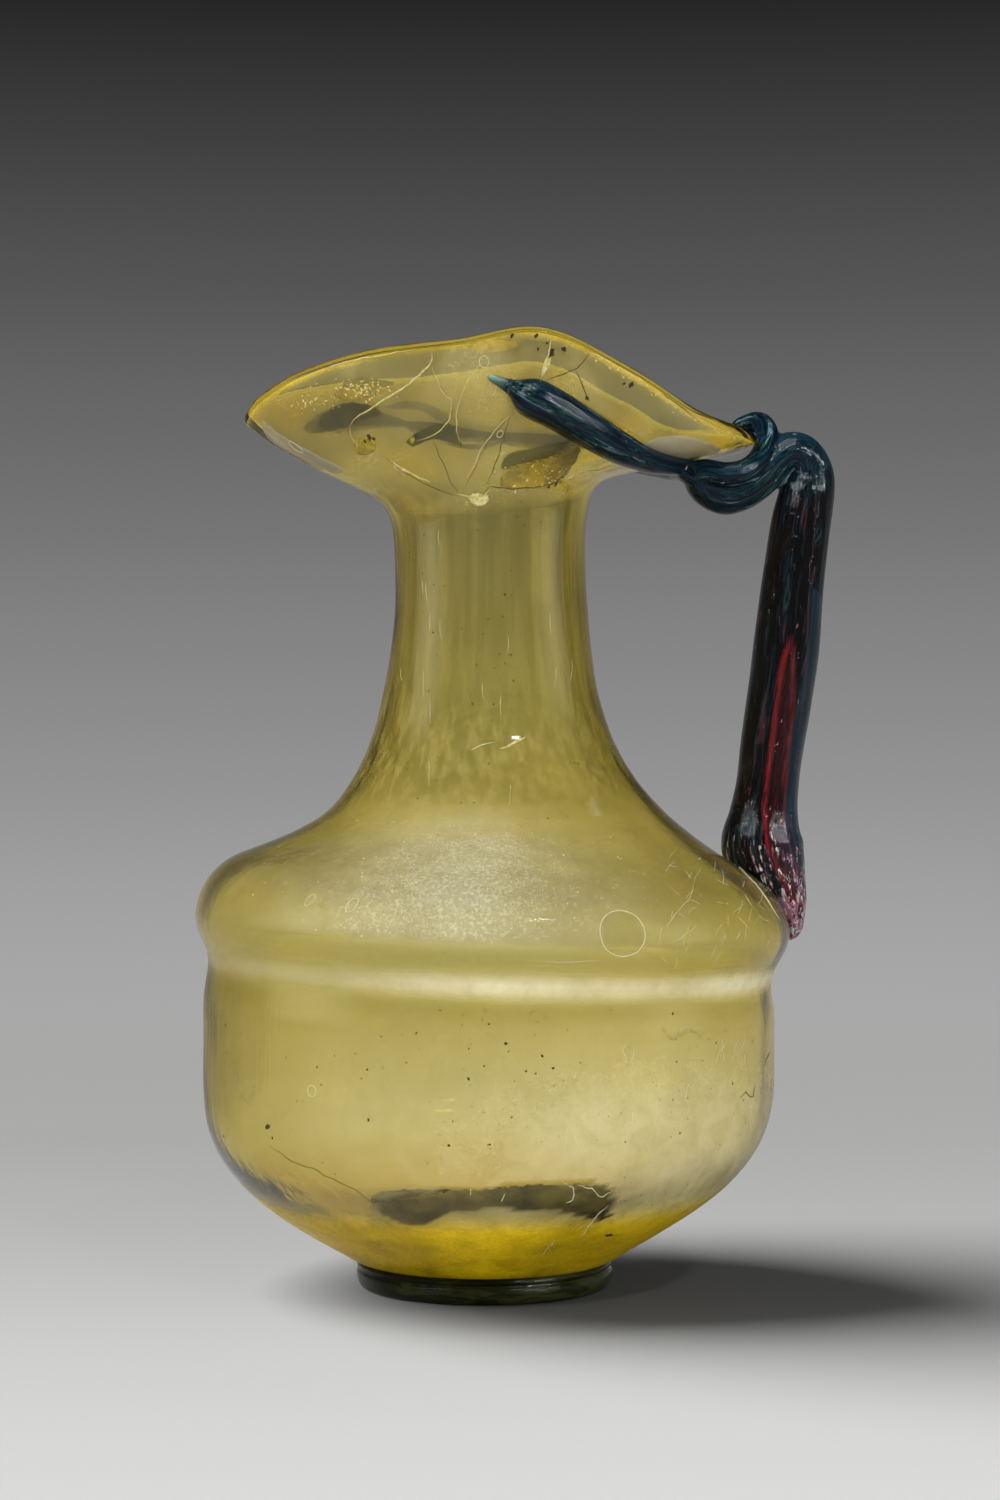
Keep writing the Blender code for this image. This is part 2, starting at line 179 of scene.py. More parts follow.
def outline(step):
    """Radius and height of the blown outline, from the middle of the underside to the neck's top."""
    stations = [(0.0, BOTTOM_CENTRE), (9.0, BOTTOM_CENTRE - 0.5)]
    stations += BOWL_STATIONS
    stations += [(BARREL_RADIUS, z) for z in BARREL_HEIGHTS]
    stations += [(GROOVE_RADIUS, GROOVE_HEIGHT), (GROOVE_RADIUS + 0.6, 60.4), (RIDGE_RADIUS - 0.9, 63.2), (RIDGE_RADIUS, RIDGE_HEIGHT)]
    stations += SHOULDER_STATIONS
    line = through(stations, 12)
    line += [(neck_radius(z), z) for z in np.arange(NECK_FOOT_HEIGHT + 0.5, NECK_TOP + 0.01, 0.5)]
    line = np.array(line)
    whole = np.vstack([line[1:][::-1] * (-1.0, 1.0), line])
    whole = resampled(whole, 0.25)
    kernel = np.exp(-0.5 * (np.arange(-16, 17) * 0.25 / 1.1) ** 2)
    kernel /= kernel.sum()
    soft = whole.copy()
    for k in range(2):
        soft[:, k] = np.convolve(np.pad(whole[:, k], 16, mode="reflect", reflect_type="odd"), kernel, mode="valid")
    soft = soft[len(soft) // 2 :]
    soft[0, 0] = 0.0
    return resampled(soft, step)


def rim_height(angle):
    a = abs((math.degrees(angle) + 180.0) % 360.0 - 180.0)
    marks = [(-RIM_HEIGHTS[1][0], RIM_HEIGHTS[1][1])] + list(RIM_HEIGHTS) + [(360 - RIM_HEIGHTS[-2][0], RIM_HEIGHTS[-2][1])]
    i = 1
    while i < len(marks) - 3 and a > marks[i + 1][0]:
        i += 1
    (x0, y0), (x1, y1), (x2, y2), (x3, y3) = marks[i - 1 : i + 3]
    m1, m2, h = (y2 - y0) / (x2 - x0), (y3 - y1) / (x3 - x1), x2 - x1
    f = (a - x1) / h
    return (2 * f**3 - 3 * f * f + 1) * y1 + (f**3 - 2 * f * f + f) * h * m1 + (3 * f * f - 2 * f**3) * y2 + (f**3 - f * f) * h * m2


def settled(p):
    """Points (…, 3) after the hot glass has sagged and drifted off the axis."""
    x, y, z = p[..., 0], p[..., 1], p[..., 2]
    lean = smooth((z - 34.0) / 22.0) * (1.0 - smooth((z - 76.0) / 12.0))
    drift = np.interp(z, [d[0] for d in AXIS_DRIFT], [d[1] for d in AXIS_DRIFT])
    return np.stack([x + drift, y, z - SHOULDER_TILT * x * lean], axis=-1)


def lip_points(angle, t):
    """Points on the lip's outside for arrays of angle and t (broadcast), before settling."""
    angle, t = np.broadcast_arrays(np.asarray(angle, float), np.asarray(t, float))
    c, s = np.cos(angle), np.sin(angle)
    end, side = (1.0 - c) / 2.0, s * s
    z0 = lerp(LIP_START_HANDLE, LIP_START_SPOUT, end)
    reach_x = lerp(REACH_HANDLE, REACH_SPOUT, end)
    reach_y = REACH_SIDE * (1.0 - SPOUT_PINCH * np.maximum(0.0, -c) ** 3)
    out1, up1 = lerp(0.03, 0.08, side), lerp(lerp(6.6, 5.2, end), 5.4, side)
    out2, high2 = lerp(lerp(0.97, 0.69, end), 1.0, side), lerp(149.5, 153.6, side)
    rim = np.vectorize(rim_height)(angle)
    b0, b1, b2, b3 = (1 - t) ** 3, 3 * (1 - t) ** 2 * t, 3 * (1 - t) * t * t, t**3
    out = b1 * out1 + b2 * out2 + b3
    z = b0 * z0 + b1 * (z0 + up1) + b2 * high2 + b3 * rim
    return np.stack([(LIP_ROOT_RADIUS + (reach_x - LIP_ROOT_RADIUS) * out) * c, (LIP_ROOT_RADIUS + (reach_y - LIP_ROOT_RADIUS) * out) * s, z], axis=-1)


def lip_frame(angle, t):
    e = 0.002
    p = settled(lip_points(angle, t))
    along = settled(lip_points(angle + e, t)) - settled(lip_points(angle - e, t))
    up = settled(lip_points(angle, min(t + e, 1.0))) - settled(lip_points(angle, max(t - e, 0.0)))
    n = np.cross(along, up)
    return p, n / np.linalg.norm(n)


def to_row(p):
    """Working millimetres to the row frame in metres."""
    return (np.asarray(p, float) + (AXIS_X, 0.0, 0.0)) * MM


def kept_in_box(p, inset=0.00002):
    low = np.array(CAD_LOW) + inset
    high = np.array(CAD_HIGH) - inset
    return np.clip(p, low, high)


def mesh_object(name, points, faces, smooth_shade=True, boxed=True):
    mesh = bpy.data.meshes.new(name)
    points = np.asarray(points, float)
    if boxed:
        points = kept_in_box(points)
    mesh.from_pydata(points.tolist(), [], faces if isinstance(faces, list) else faces.tolist())
    mesh.validate(clean_customdata=False)
    mesh.update()
    if smooth_shade:
        mesh.shade_smooth()
    ob = bpy.data.objects.new(name, mesh)
    bpy.context.scene.collection.objects.link(ob)
    return ob


def put_attribute(ob, name, values, kind="FLOAT"):
    values = np.asarray(values, np.float32)
    made = ob.data.attributes.new(name, kind, "POINT")
    made.data.foreach_set("vector" if kind == "FLOAT_VECTOR" else "value", values.ravel())


# ---------------------------------------------------------------- blown vessel
def blown_rows():
    """Outer surface as an array (SEG, rows, 3), and each row's place: height share on the lip or -1."""
    ang = np.arange(SEG) * 2 * math.pi / SEG
    line = outline(1.12)
    body = np.zeros((SEG, len(line), 3))
    body[..., 0] = np.cos(ang)[:, None] * line[None, :, 0]
    body[..., 1] = np.sin(ang)[:, None] * line[None, :, 0]
    body[..., 2] = line[None, :, 1]
    body = settled(body)
    fine = np.linspace(0.0, 1.0, 90)
    lip = settled(lip_points(ang[:, None], fine[None, :]))
    rows = 46
    kept = np.zeros((SEG, rows, 3))
    where = np.zeros((SEG, rows))
    for i in range(SEG):
        run = np.concatenate([[0.0], np.cumsum(np.linalg.norm(np.diff(lip[i], axis=0), axis=1))])
        at = np.linspace(0.0, run[-1] - WALL_RIM / 2, rows + 1)[1:]
        for k in range(3):
            kept[i, :, k] = np.interp(at, run, lip[i, :, k])
        where[i] = np.interp(at, run, fine)
    whole = np.concatenate([body, kept], axis=1)
    join = body.shape[1] - 1
    for _ in range(14):
        a, b = join - 9, join + 10
        whole[:, a:b] = 0.5 * whole[:, a:b] + 0.25 * (whole[:, a - 1 : b - 1] + whole[:, a + 1 : b + 1])
    place = np.concatenate([np.full((SEG, body.shape[1]), -1.0), where], axis=1)
    return ang, whole, place


def grid_normals(p):
    around = np.roll(p, -1, axis=0) - np.roll(p, 1, axis=0)
    along = np.gradient(p, axis=1)
    n = np.cross(around, along)
    size = np.linalg.norm(n, axis=-1, keepdims=True)
    n = n / np.maximum(size, 1e-9)
    n[:, 0] = (0.0, 0.0, -1.0)
    return n


ANG, OUTER, LIP_PLACE = blown_rows()
uneven = Waves(3, 34.0)
OUTER = OUTER + grid_normals(OUTER) * (0.10 * uneven(OUTER) * smooth((OUTER[..., 2] - 12.0) / 10.0))[..., None]
OUTER_N = grid_normals(OUTER)
thick = lerp(WALL_BOTTOM, WALL, smooth((OUTER[..., 2] - 5.0) / 26.0))
thick = np.where(LIP_PLACE >= 0, lerp(WALL, WALL_RIM, smooth((LIP_PLACE - 0.55) / 0.45)), thick)
near_rim = smooth((LIP_PLACE - 0.8) / 0.2)
thick = thick * (1.0 + 0.10 * Waves(11, 22.0)(OUTER) * (1 - near_rim))
INNER = OUTER - OUTER_N * thick[..., None]
INNER[:, 0] = INNER[:, 0].mean(axis=0)


def vessel_mesh():
    rows = OUTER.shape[1]
    up = OUTER[:, -1] - OUTER[:, -2]
    up /= np.linalg.norm(up, axis=-1, keepdims=True)
    up -= OUTER_N[:, -1] * (up * OUTER_N[:, -1]).sum(-1, keepdims=True)
    up /= np.linalg.norm(up, axis=-1, keepdims=True)
    half = thick[:, -1][:, None] / 2
    middle = OUTER[:, -1] - OUTER_N[:, -1] * half
    bead = []
    for f in np.linspace(0, math.pi, 11)[1:-1]:
        bead.append(middle + OUTER_N[:, -1] * half * math.cos(f) + up * half * math.sin(f))
    rings = [OUTER[:, k] for k in range(1, rows)] + bead + [INNER[:, k] for k in range(rows - 1, 0, -1)]
    side = [0.0] * (rows - 1) + [0.5] * len(bead) + [1.0] * (rows - 1)
    points = np.concatenate([np.stack(rings, axis=0).reshape(-1, 3), OUTER[:1, 0], INNER[:1, 0]])
    inside = np.concatenate([np.repeat(side, SEG), [0.0, 1.0]])
    n = len(rings)
    faces = []
    for k in range(n - 1):
        a, b = k * SEG, (k + 1) * SEG
        for i in range(SEG):
            j = (i + 1) % SEG
            faces.append((a + i, a + j, b + j, b + i))
    low, high = n * SEG, n * SEG + 1
    for i in range(SEG):
        j = (i + 1) % SEG
        faces.append((low, j, i))
        faces.append((high, (n - 1) * SEG + i, (n - 1) * SEG + j))
    ob = mesh_object("blown_vessel", to_row(points), faces)
    put_attribute(ob, "inside", inside)
    z = points[:, 2]
    worn = 0.09 * smooth((z - 60.0) / 8.0) * (1.0 - smooth((z - 80.0) / 22.0))
    worn += 0.04 * smooth((z - 18.0) / 10.0) * (1.0 - smooth((z - 56.0) / 8.0))
    worn += 0.03 * smooth((z - 140.0) / 12.0)
    worn *= 1.0 + 0.5 * Waves(31, 26.0)(points)
    put_attribute(ob, "dull", np.clip(worn * (1.0 - 0.75 * inside), 0.0, 1.0))
    return ob


vessel = vessel_mesh()

rows_out = OUTER.shape[1]
outer_faces = []
for k in range(1, rows_out - 1):
    for i in range(SEG):
        j = (i + 1) % SEG
        outer_faces.append((k * SEG + i, k * SEG + j, (k + 1) * SEG + j, (k + 1) * SEG + i))
OUTER_TREE = BVHTree.FromPolygons([Vector(v) for v in OUTER.transpose(1, 0, 2).reshape(-1, 3)], outer_faces)
INNER_TREE = BVHTree.FromPolygons([Vector(v) for v in INNER.transpose(1, 0, 2).reshape(-1, 3)], outer_faces)
EYE = Vector((0.0, -625.6, 108.93))


def seen(px, py, tree=OUTER_TREE, pass_by=0):
    """Place and outward normal where the line of sight through a place of the front view meets a wall."""
    d = Vector(((px - 488.0) / 3400.0, 1.0, (692.0 - py) / 3400.0)).normalized()
    at = EYE
    for _ in range(pass_by + 1):
        hit, normal, _, _ = tree.ray_cast(at, d)
        if hit is None:
            return None, None
        at = hit + d * 0.05
    return hit, normal


# ---------------------------------------------------------------- handle
def rod_path(path, step=0.5):
    """An even, dense path (x, y, z, radius) through the stations."""
    return resampled(through(path, 12), step)


def swept(path, sides=28, squash=1.0, round_start=True, round_end=True):
    """Points and faces of a closed rod along the path, and for each path point its frame."""
    p, r = path[:, :3], path[:, 3].copy()
    run = np.concatenate([[0.0], np.cumsum(np.linalg.norm(np.diff(p, axis=0), axis=1))])
    for i in range(len(r)):
        if round_start and run[i] < r[i]:
            r[i] *= math.sqrt(max(1 - (1 - run[i] / path[i, 3]) ** 2, 0.02))
        if round_end and run[-1] - run[i] < path[i, 3]:
            r[i] *= math.sqrt(max(1 - (1 - (run[-1] - run[i]) / path[i, 3]) ** 2, 0.02))
    tangent = np.gradient(p, axis=0)
    tangent /= np.linalg.norm(tangent, axis=1)[:, None]
    u = np.array((0.0, 1.0, 0.0))
    frames = []
    for t in tangent:
        u = u - t * (u @ t)
        u /= np.linalg.norm(u)
        frames.append((u.copy(), np.cross(t, u)))
    points, faces = [], []
    for i in range(len(p)):
        a, b = frames[i]
        for k in range(sides):
            f = 2 * math.pi * k / sides
            q = p[i] + (a * math.cos(f) + b * math.sin(f)) * r[i]
            points.append((q[0], q[1] * squash, q[2]))
    for i in range(len(p) - 1):
        for k in range(sides):
            j = (k + 1) % sides
            faces.append((i * sides + k, i * sides + j, (i + 1) * sides + j, (i + 1) * sides + k))
    faces.append(tuple(range(sides))[::-1])
    faces.append(tuple(range((len(p) - 1) * sides, len(p) * sides)))
    return np.array(points), faces, frames, run


def trail_path(stations, lead):
    path = list(lead)
    for degrees, t, r in stations:
        p, n = lip_frame(math.radians(degrees), t)
        q = p + n * (r * TRAIL_STAND)
        path.append((q[0], q[1], q[2], r))
    return path


RODS = {
    "strap": (rod_path([(x, 0.0, z, r) for x, z, r in STRAP]), STRAP_DEPTH, True, True, 0.0),
    "knot": (rod_path(KNOT, 0.4), 1.0, False, True, 64.5),
    "near": (rod_path(trail_path(NEAR_TRAIL, NEAR_LEAD), 0.4), 1.0, False, True, 150.0),
    "far": (rod_path(trail_path(FAR_TRAIL, FAR_LEAD), 0.4), 1.0, False, True, 260.0),
}


def handle_mesh():
    points, faces, samples = [], [], []
    base = 0
    for name, (path, squash, start, end, offset) in RODS.items():
        p, f, frames, run = swept(path, 28, squash, start, end)
        # the strap and the knot's own glass are in contact with the wall, and never reach through it
        if name != "knot":
            for i, q in enumerate(p):
                hit, normal, _, _ = OUTER_TREE.find_nearest(Vector(q))
                depth = (Vector(q) - hit).dot(normal)
                if depth < -FUSED and (Vector(q) - hit).length < 14.0:
                    p[i] = hit - normal * FUSED
        points.append(p)
        faces += [tuple(base + v for v in face) for face in f]
        base += len(p)
        for (x, y, z, r), (a, b), s in zip(path, frames, run):
            samples.append((np.array((x, y, z)), r, a, b, s + offset))
    ob = mesh_object("applied_handle", to_row(np.vstack(points)), faces, boxed=False)
    remesh = ob.modifiers.new("fuse", "REMESH")
    remesh.mode = "VOXEL"
    remesh.voxel_size = 0.00036
    remesh.use_smooth_shade = True
    bpy.context.view_layer.update()
    graph = bpy.context.evaluated_depsgraph_get()
    fused = bpy.data.meshes.new_from_object(ob.evaluated_get(graph))
    ob.modifiers.clear()
    ob.data = fused
    shape = bmesh.new()
    shape.from_mesh(fused)
    for _ in range(5):
        bmesh.ops.smooth_vert(shape, verts=shape.verts, factor=0.5, use_axis_x=True, use_axis_y=True, use_axis_z=True)
    shape.to_mesh(fused)
    shape.free()
    fused.update()
    n = len(fused.vertices)
    co = np.zeros(n * 3)
    fused.vertices.foreach_get("co", co)
    co = co.reshape(-1, 3) / MM - (AXIS_X, 0.0, 0.0)
    no = np.zeros(n * 3)
    fused.vertices.foreach_get("normal", no)
    no = no.reshape(-1, 3)
    tree = kdtree.KDTree(len(samples))
    for i, s in enumerate(samples):
        tree.insert(s[0], i)
    tree.balance()
    flow = np.zeros((n, 3))
    for i in range(n):
        best, pick = 1e9, None
        for _, k, d in tree.find_n(co[i], 12):
            if d / samples[k][1] < best:
                best, pick = d / samples[k][1], k
        c, r, a, b, s = samples[pick]
        d = co[i] - c
        f = math.atan2(d @ b, d @ a)
        flow[i] = (s, math.cos(f) * r, math.sin(f) * r)
    ridges = 0.0
    for seed, waves in ((1, 5), (2, 9), (3, 14)):
        g = np.random.default_rng(seed)
        f = np.arctan2(flow[:, 2], flow[:, 1])
        ridges = ridges + np.sin(waves * f + g.uniform(0, 6) + 0.9 * np.sin(flow[:, 0] / 17.0 + seed)) / (waves**0.5)
    keep = smooth((np.hypot(flow[:, 1], flow[:, 2]) - 0.8) / 1.5)
    co = co + no * (0.055 * ridges * keep + 0.12 * Waves(21, 9.0)(co) * keep)[:, None]
    fused.vertices.foreach_set("co", kept_in_box(to_row(co)).ravel())
    fused.update()
    fused.shade_smooth()
    put_attribute(ob, "flow", flow, "FLOAT_VECTOR")
    return ob


handle = handle_mesh()


# ---------------------------------------------------------------- foot coil
def foot_mesh():
    """A drawn thread of glass laid round the underside and pressed a little out of round."""
    segments, sides = 220, 40
    profile = [(22.9, 4.75), (23.35, 4.35), (23.42, 4.0), (22.95, 3.55), (22.9, 3.4), (23.4, 3.05), (23.5, 2.6), (23.45, 1.9), (23.15, 0.9), (22.7, 0.25), (22.1, 0.0), (21.3, 0.0), (20.5, 0.0), (19.95, 0.3), (19.5, 0.9), (19.3, 2.0), (19.4, 3.2), (19.9, 4.3), (21.4, 4.9)]
    closed = resampled(through(profile + [profile[0]], 8), 14.4 / sides)[:-1]
    sides = len(closed)
    points = []
    for i in range(segments):
        f = 2 * math.pi * i / segments
        for r, z in closed:
            lift = smooth(z / 1.2)
            wob = 0.10 * math.sin(3 * f + 1.0) + 0.06 * math.sin(7 * f) + 0.05 * math.sin(13 * f + 2.0)
            out = r + (r - 21.4) * 0.05 * math.sin(5 * f + 0.6) + wob * 0.5 * lift
            points.append((min(out, 23.6) * math.cos(f), min(out, 23.6) * math.sin(f), z))
    points = settled(np.array(points))
    faces = []
    for i in range(segments):
        a, b = i * sides, ((i + 1) % segments) * sides
        for k in range(sides):
            j = (k + 1) % sides
            faces.append((a + k, a + j, b + j, b + k))
    return mesh_object("foot_coil", to_row(points), faces)


foot = foot_mesh()
shape = bmesh.new()
shape.from_mesh(foot.data)
bmesh.ops.recalc_face_normals(shape, faces=shape.faces)
shape.to_mesh(foot.data)
shape.free()


# ---------------------------------------------------------------- materials
def new_material(name):
    made = bpy.data.materials.new(name)
    made.use_nodes = True
    tree = made.node_tree
    shader = tree.nodes["Principled BSDF"]
    return made, tree, shader


def node(tree, kind, **values):
    made = tree.nodes.new(kind)
    for key, value in values.items():
        if key in made.inputs.keys():
            made.inputs[key].default_value = value
        else:
            setattr(made, key, value)
    return made


def ramp(tree, fac, stops, interpolation="LINEAR"):
    made = tree.nodes.new("ShaderNodeValToRGB")
    made.color_ramp.interpolation = interpolation
    while len(made.color_ramp.elements) < len(stops):
        made.color_ramp.elements.new(0.5)
    for e, (at, colour) in zip(made.color_ramp.elements, stops):
        e.position = at
        e.color = (*colour, 1.0) if len(colour) == 3 else colour
    if fac is not None:
        tree.links.new(fac, made.inputs["Fac"])
    return made


def yellow_glass():
    """Clear olive-yellow glass; the surface is worn dull in places, most on the shoulder."""
    made, tree, shader = new_material("yellow_glass")
    shader.inputs["Base Color"].default_value = (1.0, 1.0, 1.0, 1.0)
    shader.inputs["IOR"].default_value = 1.5
    shader.inputs["Transmission Weight"].default_value = 1.0
    volume = node(tree, "ShaderNodeVolumeAbsorption")
    volume.inputs["Color"].default_value = (0.970, 0.866, 0.037, 1.0)
    volume.inputs["Density"].default_value = 540.0
    tree.links.new(volume.outputs[0], tree.nodes["Material Output"].inputs["Volume"])
    dull = node(tree, "ShaderNodeAttribute", attribute_name="dull")
    at = node(tree, "ShaderNodeTexCoord")
    mottle = node(tree, "ShaderNodeTexNoise", Scale=260.0, Detail=3.0, Roughness=0.62)
    tree.links.new(at.outputs["Object"], mottle.inputs["Vector"])
    spread = node(tree, "ShaderNodeMapRange")
    for key, value in (("From Min", 0.40), ("From Max", 0.66), ("To Min", 0.35), ("To Max", 1.25)):
        spread.inputs[key].default_value = value
    tree.links.new(mottle.outputs["Fac"], spread.inputs["Value"])
    rough = node(tree, "ShaderNodeMath", operation="MULTIPLY_ADD")
    tree.links.new(dull.outputs["Fac"], rough.inputs[0])
    tree.links.new(spread.outputs["Result"], rough.inputs[1])
    rough.inputs[2].default_value = 0.015
    tree.links.new(rough.outputs[0], shader.inputs["Roughness"])
    # shallow pits and drawn-out ripples of the blown surface
    fine = node(tree, "ShaderNodeTexNoise", Scale=900.0, Detail=2.0, Roughness=0.6)
    tree.links.new(at.outputs["Object"], fine.inputs["Vector"])
    stretch = node(tree, "ShaderNodeMapping")
    stretch.inputs["Scale"].default_value = (1.0, 1.0, 0.07)
    tree.links.new(at.outputs["Object"], stretch.inputs["Vector"])
    drawn = node(tree, "ShaderNodeTexNoise", Scale=420.0, Detail=2.0, Roughness=0.55)
    tree.links.new(stretch.outputs[0], drawn.inputs["Vector"])
    pits = node(tree, "ShaderNodeMath", operation="MULTIPLY")
    tree.links.new(fine.outputs["Fac"], pits.inputs[0])
    tree.links.new(dull.outputs["Fac"], pits.inputs[1])
    low = node(tree, "ShaderNodeMath", operation="MULTIPLY_ADD")
    tree.links.new(drawn.outputs["Fac"], low.inputs[0])
    low.inputs[1].default_value = 0.20
    tree.links.new(pits.outputs[0], low.inputs[2])
    bump = node(tree, "ShaderNodeBump", Strength=0.35, Distance=0.0004)
    tree.links.new(low.outputs[0], bump.inputs["Height"])
    tree.links.new(bump.outputs[0], shader.inputs["Normal"])
    return made


def maths(tree, operation, a, b=None, c=None, clamp=False):
    made = tree.nodes.new("ShaderNodeMath")
    made.operation = operation
    made.use_clamp = clamp
    for k, v in enumerate((a, b, c)):
        if v is None:
            continue
        if isinstance(v, (int, float)):
            made.inputs[k].default_value = v
        else:
            tree.links.new(v, made.inputs[k])
    return made.outputs[0]


def blend(tree, fac, a, b):
    made = tree.nodes.new("ShaderNodeMix")
    made.data_type = "RGBA"
    for key, v in ((0, fac), (6, a), (7, b)):
        if isinstance(v, tuple):
            made.inputs[key].default_value = (*v, 1.0)
        elif isinstance(v, (int, float)):
            made.inputs[key].default_value = v
        else:
            tree.links.new(v, made.inputs[key])
    return made.outputs[2]


def handle_glass():
    """Nearly opaque glass drawn in streaks: black with teal, green and blue, and a wine-red loop low in the strap."""
    made, tree, shader = new_material("dark_handle_glass")
    flow = node(tree, "ShaderNodeAttribute", attribute_name="flow")
    split = node(tree, "ShaderNodeSeparateXYZ")
    tree.links.new(flow.outputs["Vector"], split.inputs[0])
    s, across, lateral = split.outputs["X"], split.outputs["Y"], split.outputs["Z"]
    drawn = node(tree, "ShaderNodeCombineXYZ")
    tree.links.new(maths(tree, "MULTIPLY", s, 0.045), drawn.inputs["X"])
    tree.links.new(maths(tree, "MULTIPLY", across, 0.52), drawn.inputs["Y"])
    tree.links.new(maths(tree, "MULTIPLY", lateral, 0.52), drawn.inputs["Z"])
    streak = node(tree, "ShaderNodeTexNoise", Scale=1.5, Detail=6.0, Roughness=0.62, Distortion=0.5)
    tree.links.new(drawn.outputs[0], streak.inputs["Vector"])
    second = node(tree, "ShaderNodeTexNoise", Scale=1.7, Detail=6.0, Roughness=0.62, Distortion=0.7)
    moved = node(tree, "ShaderNodeVectorMath", operation="ADD")
    tree.links.new(drawn.outputs[0], moved.inputs[0])
    moved.inputs[1].default_value = (7.3, 2.1, 5.2)
    tree.links.new(moved.outputs[0], second.inputs["Vector"])
    body = ramp(tree, streak.outputs["Fac"], [(0.30, (0.0012, 0.0010, 0.001)), (0.47, (0.0022, 0.0014, 0.001)), (0.53, (0.0012, 0.0012, 0.001)), (0.57, (0.003, 0.006, 0.008)), (0.60, (0.0012, 0.0012, 0.001)), (0.66, (0.010, 0.016, 0.016)), (0.70, (0.002, 0.003, 0.004))])
    # a teal band along the strap's outer side: painted light, where light through the thin edge shows
    teal_edge_light = maths(tree, "MULTIPLY", maths(tree, "SUBTRACT", maths(tree, "MULTIPLY", lateral, -1.0), 2.6), 0.55, clamp=True)
    # the pale blue stripes in this ramp are painted highlights on the knot and trails
    hue = ramp(tree, second.outputs["Fac"], [(0.34, (0.0012, 0.0015, 0.003)), (0.44, (0.0015, 0.004, 0.010)), (0.47, (0.003, 0.022, 0.030)), (0.49, (0.0015, 0.003, 0.007)), (0.545, (0.0015, 0.005, 0.009)), (0.565, (0.010, 0.040, 0.020)), (0.585, (0.0015, 0.003, 0.006)), (0.60, (0.002, 0.007, 0.012)), (0.615, (0.120, 0.190, 0.215)), (0.63, (0.004, 0.012, 0.020)), (0.655, (0.050, 0.085, 0.110)), (0.67, (0.002, 0.006, 0.018)), (0.74, (0.005, 0.012, 0.045))])
    # the knot and trails show more colour than the strap
    upper = maths(tree, "MULTIPLY", maths(tree, "SUBTRACT", s, 82.0, clamp=False), 0.12, clamp=True)
    colour = blend(tree, maths(tree, "MULTIPLY_ADD", upper, 0.78, 0.04), body.outputs[0], hue.outputs[0])
    colour = blend(tree, maths(tree, "MULTIPLY", teal_edge_light, maths(tree, "MULTIPLY_ADD", streak.outputs["Fac"], 1.6, -0.25, clamp=True)), colour, (0.006, 0.018, 0.026))
    # wine-red loop: two drawn threads that meet at the top
    place = maths(tree, "MULTIPLY", s, 1.0 / 60.0, clamp=True)
    wobble = maths(tree, "MULTIPLY_ADD", second.outputs["Fac"], 1.2, -0.6)
    x = maths(tree, "ADD", maths(tree, "MULTIPLY", lateral, -1.0), wobble)
    left_at = ramp(tree, place, [(t / 60.0, ((v + 3.0) / 9.0,) * 3) for t, v in ((6, 2.6), (16, 1.3), (22, -0.4), (29, -0.9), (36, -0.4), (47, -1.0), (53, -0.7), (56, 0.3))], "B_SPLINE")
    right_at = ramp(tree, place, [(t / 60.0, ((v + 3.0) / 9.0,) * 3) for t, v in ((6, 3.8), (11, 4.3), (15, 5.3), (21, 4.0), (29, 2.9), (36, 2.7), (46, 2.4), (52, 1.3), (56, 0.4))], "B_SPLINE")
    left = maths(tree, "MULTIPLY_ADD", left_at.outputs[0], 9.0, -3.0)
    right = maths(tree, "MULTIPLY_ADD", right_at.outputs[0], 9.0, -3.0)
    red_a = maths(tree, "SUBTRACT", 1.0, maths(tree, "MULTIPLY", maths(tree, "ABSOLUTE", maths(tree, "SUBTRACT", x, left)), 1.15), clamp=True)
    red_b = maths(tree, "SUBTRACT", 1.0, maths(tree, "MULTIPLY", maths(tree, "ABSOLUTE", maths(tree, "SUBTRACT", x, right)), 1.7), clamp=True)
    broken = ramp(tree, second.outputs["Fac"], [(0.38, (0.25,) * 3), (0.50, (1.0,) * 3), (0.56, (0.45,) * 3), (0.64, (1.0,) * 3)])
    line = maths(tree, "MULTIPLY", maths(tree, "MAXIMUM", red_a, maths(tree, "MULTIPLY", red_b, 0.5)), broken.outputs[0])
    low = maths(tree, "MULTIPLY", maths(tree, "SUBTRACT", 57.5, s), 0.30, clamp=True)
    up = maths(tree, "MULTIPLY", maths(tree, "SUBTRACT", s, 4.0), 0.25, clamp=True)
    red = maths(tree, "MULTIPLY", maths(tree, "MULTIPLY", line, low), up)
    between = maths(tree, "MULTIPLY", maths(tree, "GREATER_THAN", x, left), maths(tree, "LESS_THAN", x, right))
    ember = maths(tree, "MULTIPLY", maths(tree, "MULTIPLY", between, low), maths(tree, "MULTIPLY", streak.outputs["Fac"], 0.20))
    red = maths(tree, "MAXIMUM", red, ember)
    streaky = ramp(tree, streak.outputs["Fac"], [(0.38, (0.35,) * 3), (0.47, (0.95,) * 3), (0.52, (0.55,) * 3), (0.6, (1.2,) * 3)])
    red = maths(tree, "MULTIPLY", red, streaky.outputs[0], clamp=True)
    colour = blend(tree, red, colour, (0.130, 0.009, 0.010))
    # faint red higher up
    warm = ramp(tree, second.outputs["Fac"], [(0.57, (0.0,) * 3), (0.66, (0.5,) * 3)])
    strap = maths(tree, "MULTIPLY", maths(tree, "SUBTRACT", 86.0, s), 0.1, clamp=True)
    colour = blend(tree, maths(tree, "MULTIPLY", warm.outputs[0], strap), colour, (0.050, 0.006, 0.012))
